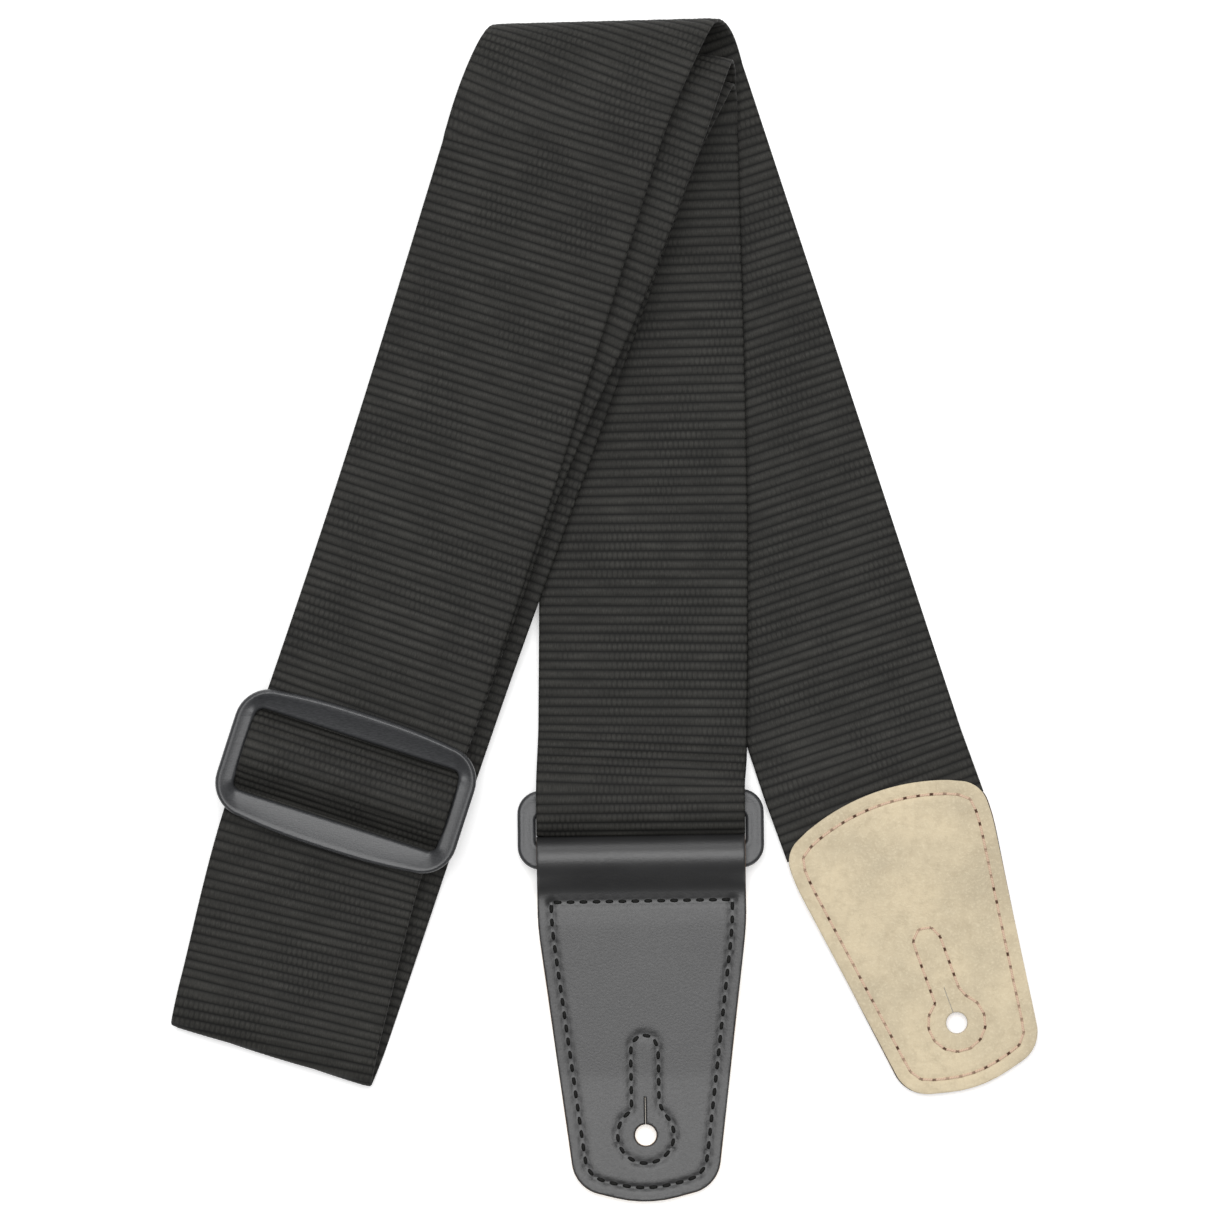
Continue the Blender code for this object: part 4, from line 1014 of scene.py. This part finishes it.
def rim_section(width, low, high, inner_drop, edge=0.9, under=0.5):
    """A rim's cross section, from its inner underside over the top to its outer underside. Edge and under are
    its corners' radii, and its top is a little hollow."""
    arcs = [
        ((under, low + under), under, 270.0, 180.0),
        ((edge, high - inner_drop - edge), edge, 180.0, 90.0),
        ((width - edge, high - edge), edge, 90.0, 0.0),
        ((width - under, low + under), under, 0.0, -90.0),
    ]
    points = []
    for i, ((x, z), radius, first, last) in enumerate(arcs):
        for k in range(6):
            turn = math.radians(first + (last - first) * k / 5)
            points.append((x + radius * math.cos(turn), z + radius * math.sin(turn)))
        if i == 1:
            (x0, z0), (x1, z1) = points[-1], (width - edge, high)
            for t in (0.2, 0.4, 0.6, 0.8):
                sag = TOP_SAG * math.sin(math.pi * t)
                points.append((x0 + (x1 - x0) * t, z0 + (z1 - z0) * t - sag))
    return points


def moulded(name, inner, outer, low, high, shape, inner_drop=0.0, bar=None):
    """A moulded loop between two matching lanes, with a round bar (y, z, half length, radius) across it."""
    verts = []
    for a, b in zip(inner, outer):
        width = np.linalg.norm(b - a)
        out = (b - a) / width
        for offset, z in rim_section(width, low, high, inner_drop * (0.2 + 0.8 * out[1] ** 2)):
            verts.append((*(a + out * offset), z))
    n = len(inner)
    m = len(verts) // n
    faces = []
    for i in range(n):
        here, after = i * m, (i + 1) % n * m
        for k in range(m):
            up = (k + 1) % m
            faces.append((here + k, here + up, after + up, after + k))
    if bar:
        y, z, half, radius = bar
        sides = 24
        faces += tube_faces(len(verts), 2, sides)
        for x in (-half, half):
            for k in range(sides):
                turn = 2 * math.pi * k / sides
                verts.append((x, y + radius * math.cos(turn), z + radius * math.sin(turn)))
    return new_piece(name, shape(np.array(verts)), faces, PLASTIC)


# -------- build: webbing

STRETCHES = webbing_stretches()
PATH = Path(STRETCHES)
NAMES = [name for name, _ in STRETCHES]
ENDS = {name: PATH.rows[after] for name, after in zip(NAMES, NAMES[1:])}
ENDS[NAMES[-1]] = PATH.last
for name in NAMES:
    first, last = PATH.rows[name], ENDS[name]
    piece = woven("web_" + name, PATH, first, last)
    held = "folded" if name.endswith("fold") else "laid"
    if name == "tab_bend":
        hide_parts("webbing_tab_flex", "webbing_tab_end")
        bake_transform(piece)
    else:
        stand_in(piece, "root", "webbing_" + name)

# -------- build: slider

SLIDER_FRAME = (
    Matrix.Translation(SLIDER_AT) @ Matrix.Rotation(FRONT_YAW, 4, "Z") @ Matrix.Rotation(FRONT_PITCH, 4, "X")
)


def in_slider(profile, half, lean=0.0):
    """Stations in the plan layout from a profile of (y, z) in the slider's own frame."""
    side = SLIDER_FRAME.to_3x3() @ Vector((half, 0.0, 0.0))
    return [(SLIDER_FRAME @ Vector((lean * max(y, 0.0), y, z)), side) for y, z in profile]


def slider_webbing(name, profile, half=WEB_HALF, lean=0.0, thick=WEB_THICK, first_row=0):
    """A strip along a profile in the slider's frame, and its length."""
    path = Path([(name, in_slider(profile, half, lean))], first_row)
    return woven(name, path, 0, path.last, thick), path.length


def round_bar(first, last, count=30):
    """The sewn end's way round the slider's bar, from one angle to another."""
    turns = np.linspace(first, last, count + 1)
    return [(WINDOW_SHIFT + LOOP_RADIUS * math.cos(t), BAR_Z + LOOP_RADIUS * math.sin(t)) for t in turns]


hump = softened([*HUMP_FOOT[0], *HUMP_CREST, *HUMP_FOOT[1]], 5, 0.5)
piece, length = slider_webbing("web_slider_pass", hump, HUMP_HALF)
stand_in(piece, "slider", "webbing_slider_pass")

touch_y = WINDOW_SHIFT + LOOP_RADIUS * math.sin(LOOP_RISE)
touch_z = BAR_Z + LOOP_RADIUS * math.cos(LOOP_RISE)
landing = touch_y + (touch_z - SEWN_LEVEL) / math.tan(LOOP_RISE)
tail_z = BAR_Z - LOOP_RADIUS * math.cos(TAIL_ANGLE)
tail_y = WINDOW_SHIFT - LOOP_RADIUS * math.sin(TAIL_ANGLE) + (tail_z - TAIL_LEVEL) / math.tan(TAIL_ANGLE)
loop = [(SEWN_LENGTH + 2 * GAP, SEWN_LEVEL), (landing, SEWN_LEVEL)]
loop += round_bar(math.pi / 2 - LOOP_RISE, 3 * math.pi / 2 - TAIL_ANGLE)
loop += [(tail_y, TAIL_LEVEL), (TAIL_LENGTH, TAIL_LEVEL)]
piece, length = slider_webbing("web_sewn_end", softened(loop, 4, 0.5), lean=SEWN_LEAN, first_row=PATH.last)
stand_in(piece, "slider", "webbing_sewn_end")

inside = softened([(SEWN_LENGTH, SEWN_LEVEL), (SEWN_LENGTH - INSIDE_LENGTH, SEWN_LEVEL)])
piece, _ = slider_webbing("web_sewn_inside", inside, INSIDE_HALF, SEWN_LEAN, INSIDE_THICK, PATH.last)
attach(piece, "root")

piece = moulded(
    "slider_frame_moulded",
    loop_lane(WINDOW_WIDE / 2, WINDOW_TALL / 2, WINDOW_CORNER, shift=WINDOW_SHIFT),
    loop_lane(SLIDER_WIDE / 2, SLIDER_TALL / 2 - SLIDER_BULGE, SLIDER_CORNER, SLIDER_BULGE),
    SLIDER_BOTTOM,
    SLIDER_BOTTOM + SLIDER_THICK,
    placed_by(SLIDER_FRAME),
    SLIDER_EDGE_DROP,
    bar=(WINDOW_SHIFT, BAR_Z - BAR_DROP, WINDOW_WIDE / 2 + BAR_SUNK, BAR_RADIUS),
)
stand_in(piece, "slider", "slider_frame")

sewn_box = [closed([Vector(corner) for corner in SEWN_BOX])]
below_tail = TAIL_LEVEL - WEB_THICK / 2 + THREAD_SUNK
in_place = placed_by(SLIDER_FRAME)
piece = stitches("sewn_end_thread", sewn_box, in_place, below_tail, -1.0, BLACK_THREAD, "black_thread")
stand_in(piece, "slider", "sewn_end_stitching")

# -------- build: ring

RING_FRAME = Matrix.Translation((RING_X, RING_TOP_BAR_Y, RING_BAR_Z)) @ Matrix.Rotation(RING_YAW, 4, "Z")
piece = moulded(
    "ring_moulded",
    loop_lane(SLOT_WIDE / 2, (RING_TALL - 2 * RING_BAR) / 2, SLOT_CORNER, shift=-RING_BAR_PITCH / 2),
    loop_lane(RING_WIDE / 2, RING_TALL / 2, RING_CORNER, shift=-RING_BAR_PITCH / 2),
    -RING_THICK / 2,
    RING_THICK / 2,
    placed_by(RING_FRAME),
)
stand_in(piece, "ring", "ring")

# -------- build: tabs

TAB_B_FRAME = (
    RING_FRAME
    @ Matrix.Translation((0.0, -RING_BAR_PITCH, 0.0))
    @ Matrix.Rotation(TAB_B_YAW, 4, "Z")
    @ Matrix.Translation((0.0, -TAB_B_REACH, -RING_BAR_Z))
)
keyhole = [closed(keyhole_outline())]
b_flat = placed_by(TAB_B_FRAME)
b_profile = tab_b_profile()
b_length = b_profile[0].x + distances(b_profile)[-1]
b_drape = draped(b_profile, LEATHER / 2, b_flat)
b_line = inset(square_outline(SEAM_Y + STITCH_INSET), STITCH_INSET)
b_border = [b_line[-1:] + b_line[:-1], b_line[-2:]]
a_flat = placed_by(TAB_A_FRAME)
a_drape = draped(tab_a_profile(), LEATHER / 2, a_flat)
a_outline = arched_outline()
a_border = [closed(inset(a_outline, STITCH_INSET))]
slip, slip_at = Matrix.Rotation(FACE_SLIP, 3, "Z"), Vector((0.0, FACE_SLIP_Y))
skewed = [(slip @ (p - slip_at).to_3d()).to_2d() + slip_at for p in a_outline]

# each side's piece name and CAD node, its material and slot, and its thread's material, slot and stitch
GOODS = {
    "face": ("face", "face_leather", LEATHER_FACE, "leather", (BLACK_THREAD, "black_thread"), {}),
    "back": ("suede", "suede_back", SUEDE, "suede", (TAN_THREAD, "tan_thread"), BACK_STITCH),
}
face_area = TAB_WIDE * (b_length + TIP_OUT - TIP_LOSS)
face_outline, face_long = square_outline(b_length), b_length + TIP_OUT
# tab, side, outline, border seam, shape, the way its good side looks, flat length, flat area, how it is held
SIDES = [
    ("tab_b", "face", face_outline, b_border, b_drape, 1.0, face_long, face_area, "folded"),
    ("tab_b", "back", square_outline(BACK_TOP_Y), b_border, b_flat, -1.0, TAB_B_LONG, TAB_AREA, "laid"),
    ("tab_a", "face", skewed, a_border, a_flat, -1.0, TAB_A_LONG, TAB_AREA, "laid"),
    ("tab_a", "back", a_outline, a_border, a_drape, 1.0, TAB_A_LONG, TAB_AREA, "laid"),
]
for tab, side, outline, border, shape, facing, long, area, held in SIDES:
    name, node, look, slot, _, _ = GOODS[side]
    piece = leather_piece(f"{tab}_{name}", outline, border + keyhole, shape, look, facing)
    stand_in(piece, tab, f"{tab}_{node}")
for tab, side, _, border, shape, facing, *_ in SIDES:
    thread, stitch = GOODS[side][4:]
    level = LEATHER if facing > 0 else 0.0
    for kind, lines in (("border", border), ("keyhole", keyhole)):
        piece = stitches(f"{tab}_{side}_{kind}_stitches", lines, shape, level, facing, *thread, **stitch)
        stand_in(piece, tab, f"{tab}_{side}_{kind}_thread")

# -------- studio

FLOOR_LEVEL = -0.0002  # just under the object, so that the two don't flicker
FLOOR_SIZE = 6.0
SKY_STRENGTH = 0.24
VIEW_WIDE = 0.2904  # the width of the surface that the picture's frame covers
VIEW_AT = (0.000745, 0.00072)
VIEW_LEVEL = 0.01  # the height at which the picture covers that width
LENS, SENSOR = 600.0, 36.0

bpy.ops.mesh.primitive_plane_add(size=FLOOR_SIZE, location=(0.0, 0.0, FLOOR_LEVEL))
floor = bpy.context.object
floor.name = "floor"
floor.data.materials.append(floor_material())

scene = bpy.context.scene
scene.view_settings.view_transform = "Standard"
sky = bpy.data.worlds.new("studio")
sky.use_nodes = True
background = sky.node_tree.nodes["Background"]
background.inputs["Color"].default_value = (1.0, 1.0, 1.0, 1.0)
background.inputs["Strength"].default_value = SKY_STRENGTH
scene.world = sky


def soft_light(name, place, size, power):
    """A round area light at a place in the world, turned to the object."""
    light = bpy.data.lights.new(name, "AREA")
    light.shape, light.size, light.energy = "DISK", size, power
    obj = bpy.data.objects.new(name, light)
    scene.collection.objects.link(obj)
    obj.location = place
    obj.rotation_euler = (-Vector(place)).to_track_quat("-Z", "Y").to_euler()


soft_light("overhead", (0.0, 0.75, 6.45), 5.0, 375.0)
soft_light("from_top_edge", (-0.3, 1.7, 1.3), 1.0, 12.0)

lens = bpy.data.cameras.new("camera")
lens.lens, lens.sensor_width = LENS, SENSOR
camera = bpy.data.objects.new("camera", lens)
scene.collection.objects.link(camera)
camera.location = (*VIEW_AT, VIEW_LEVEL + VIEW_WIDE * LENS / SENSOR)
scene.camera = camera
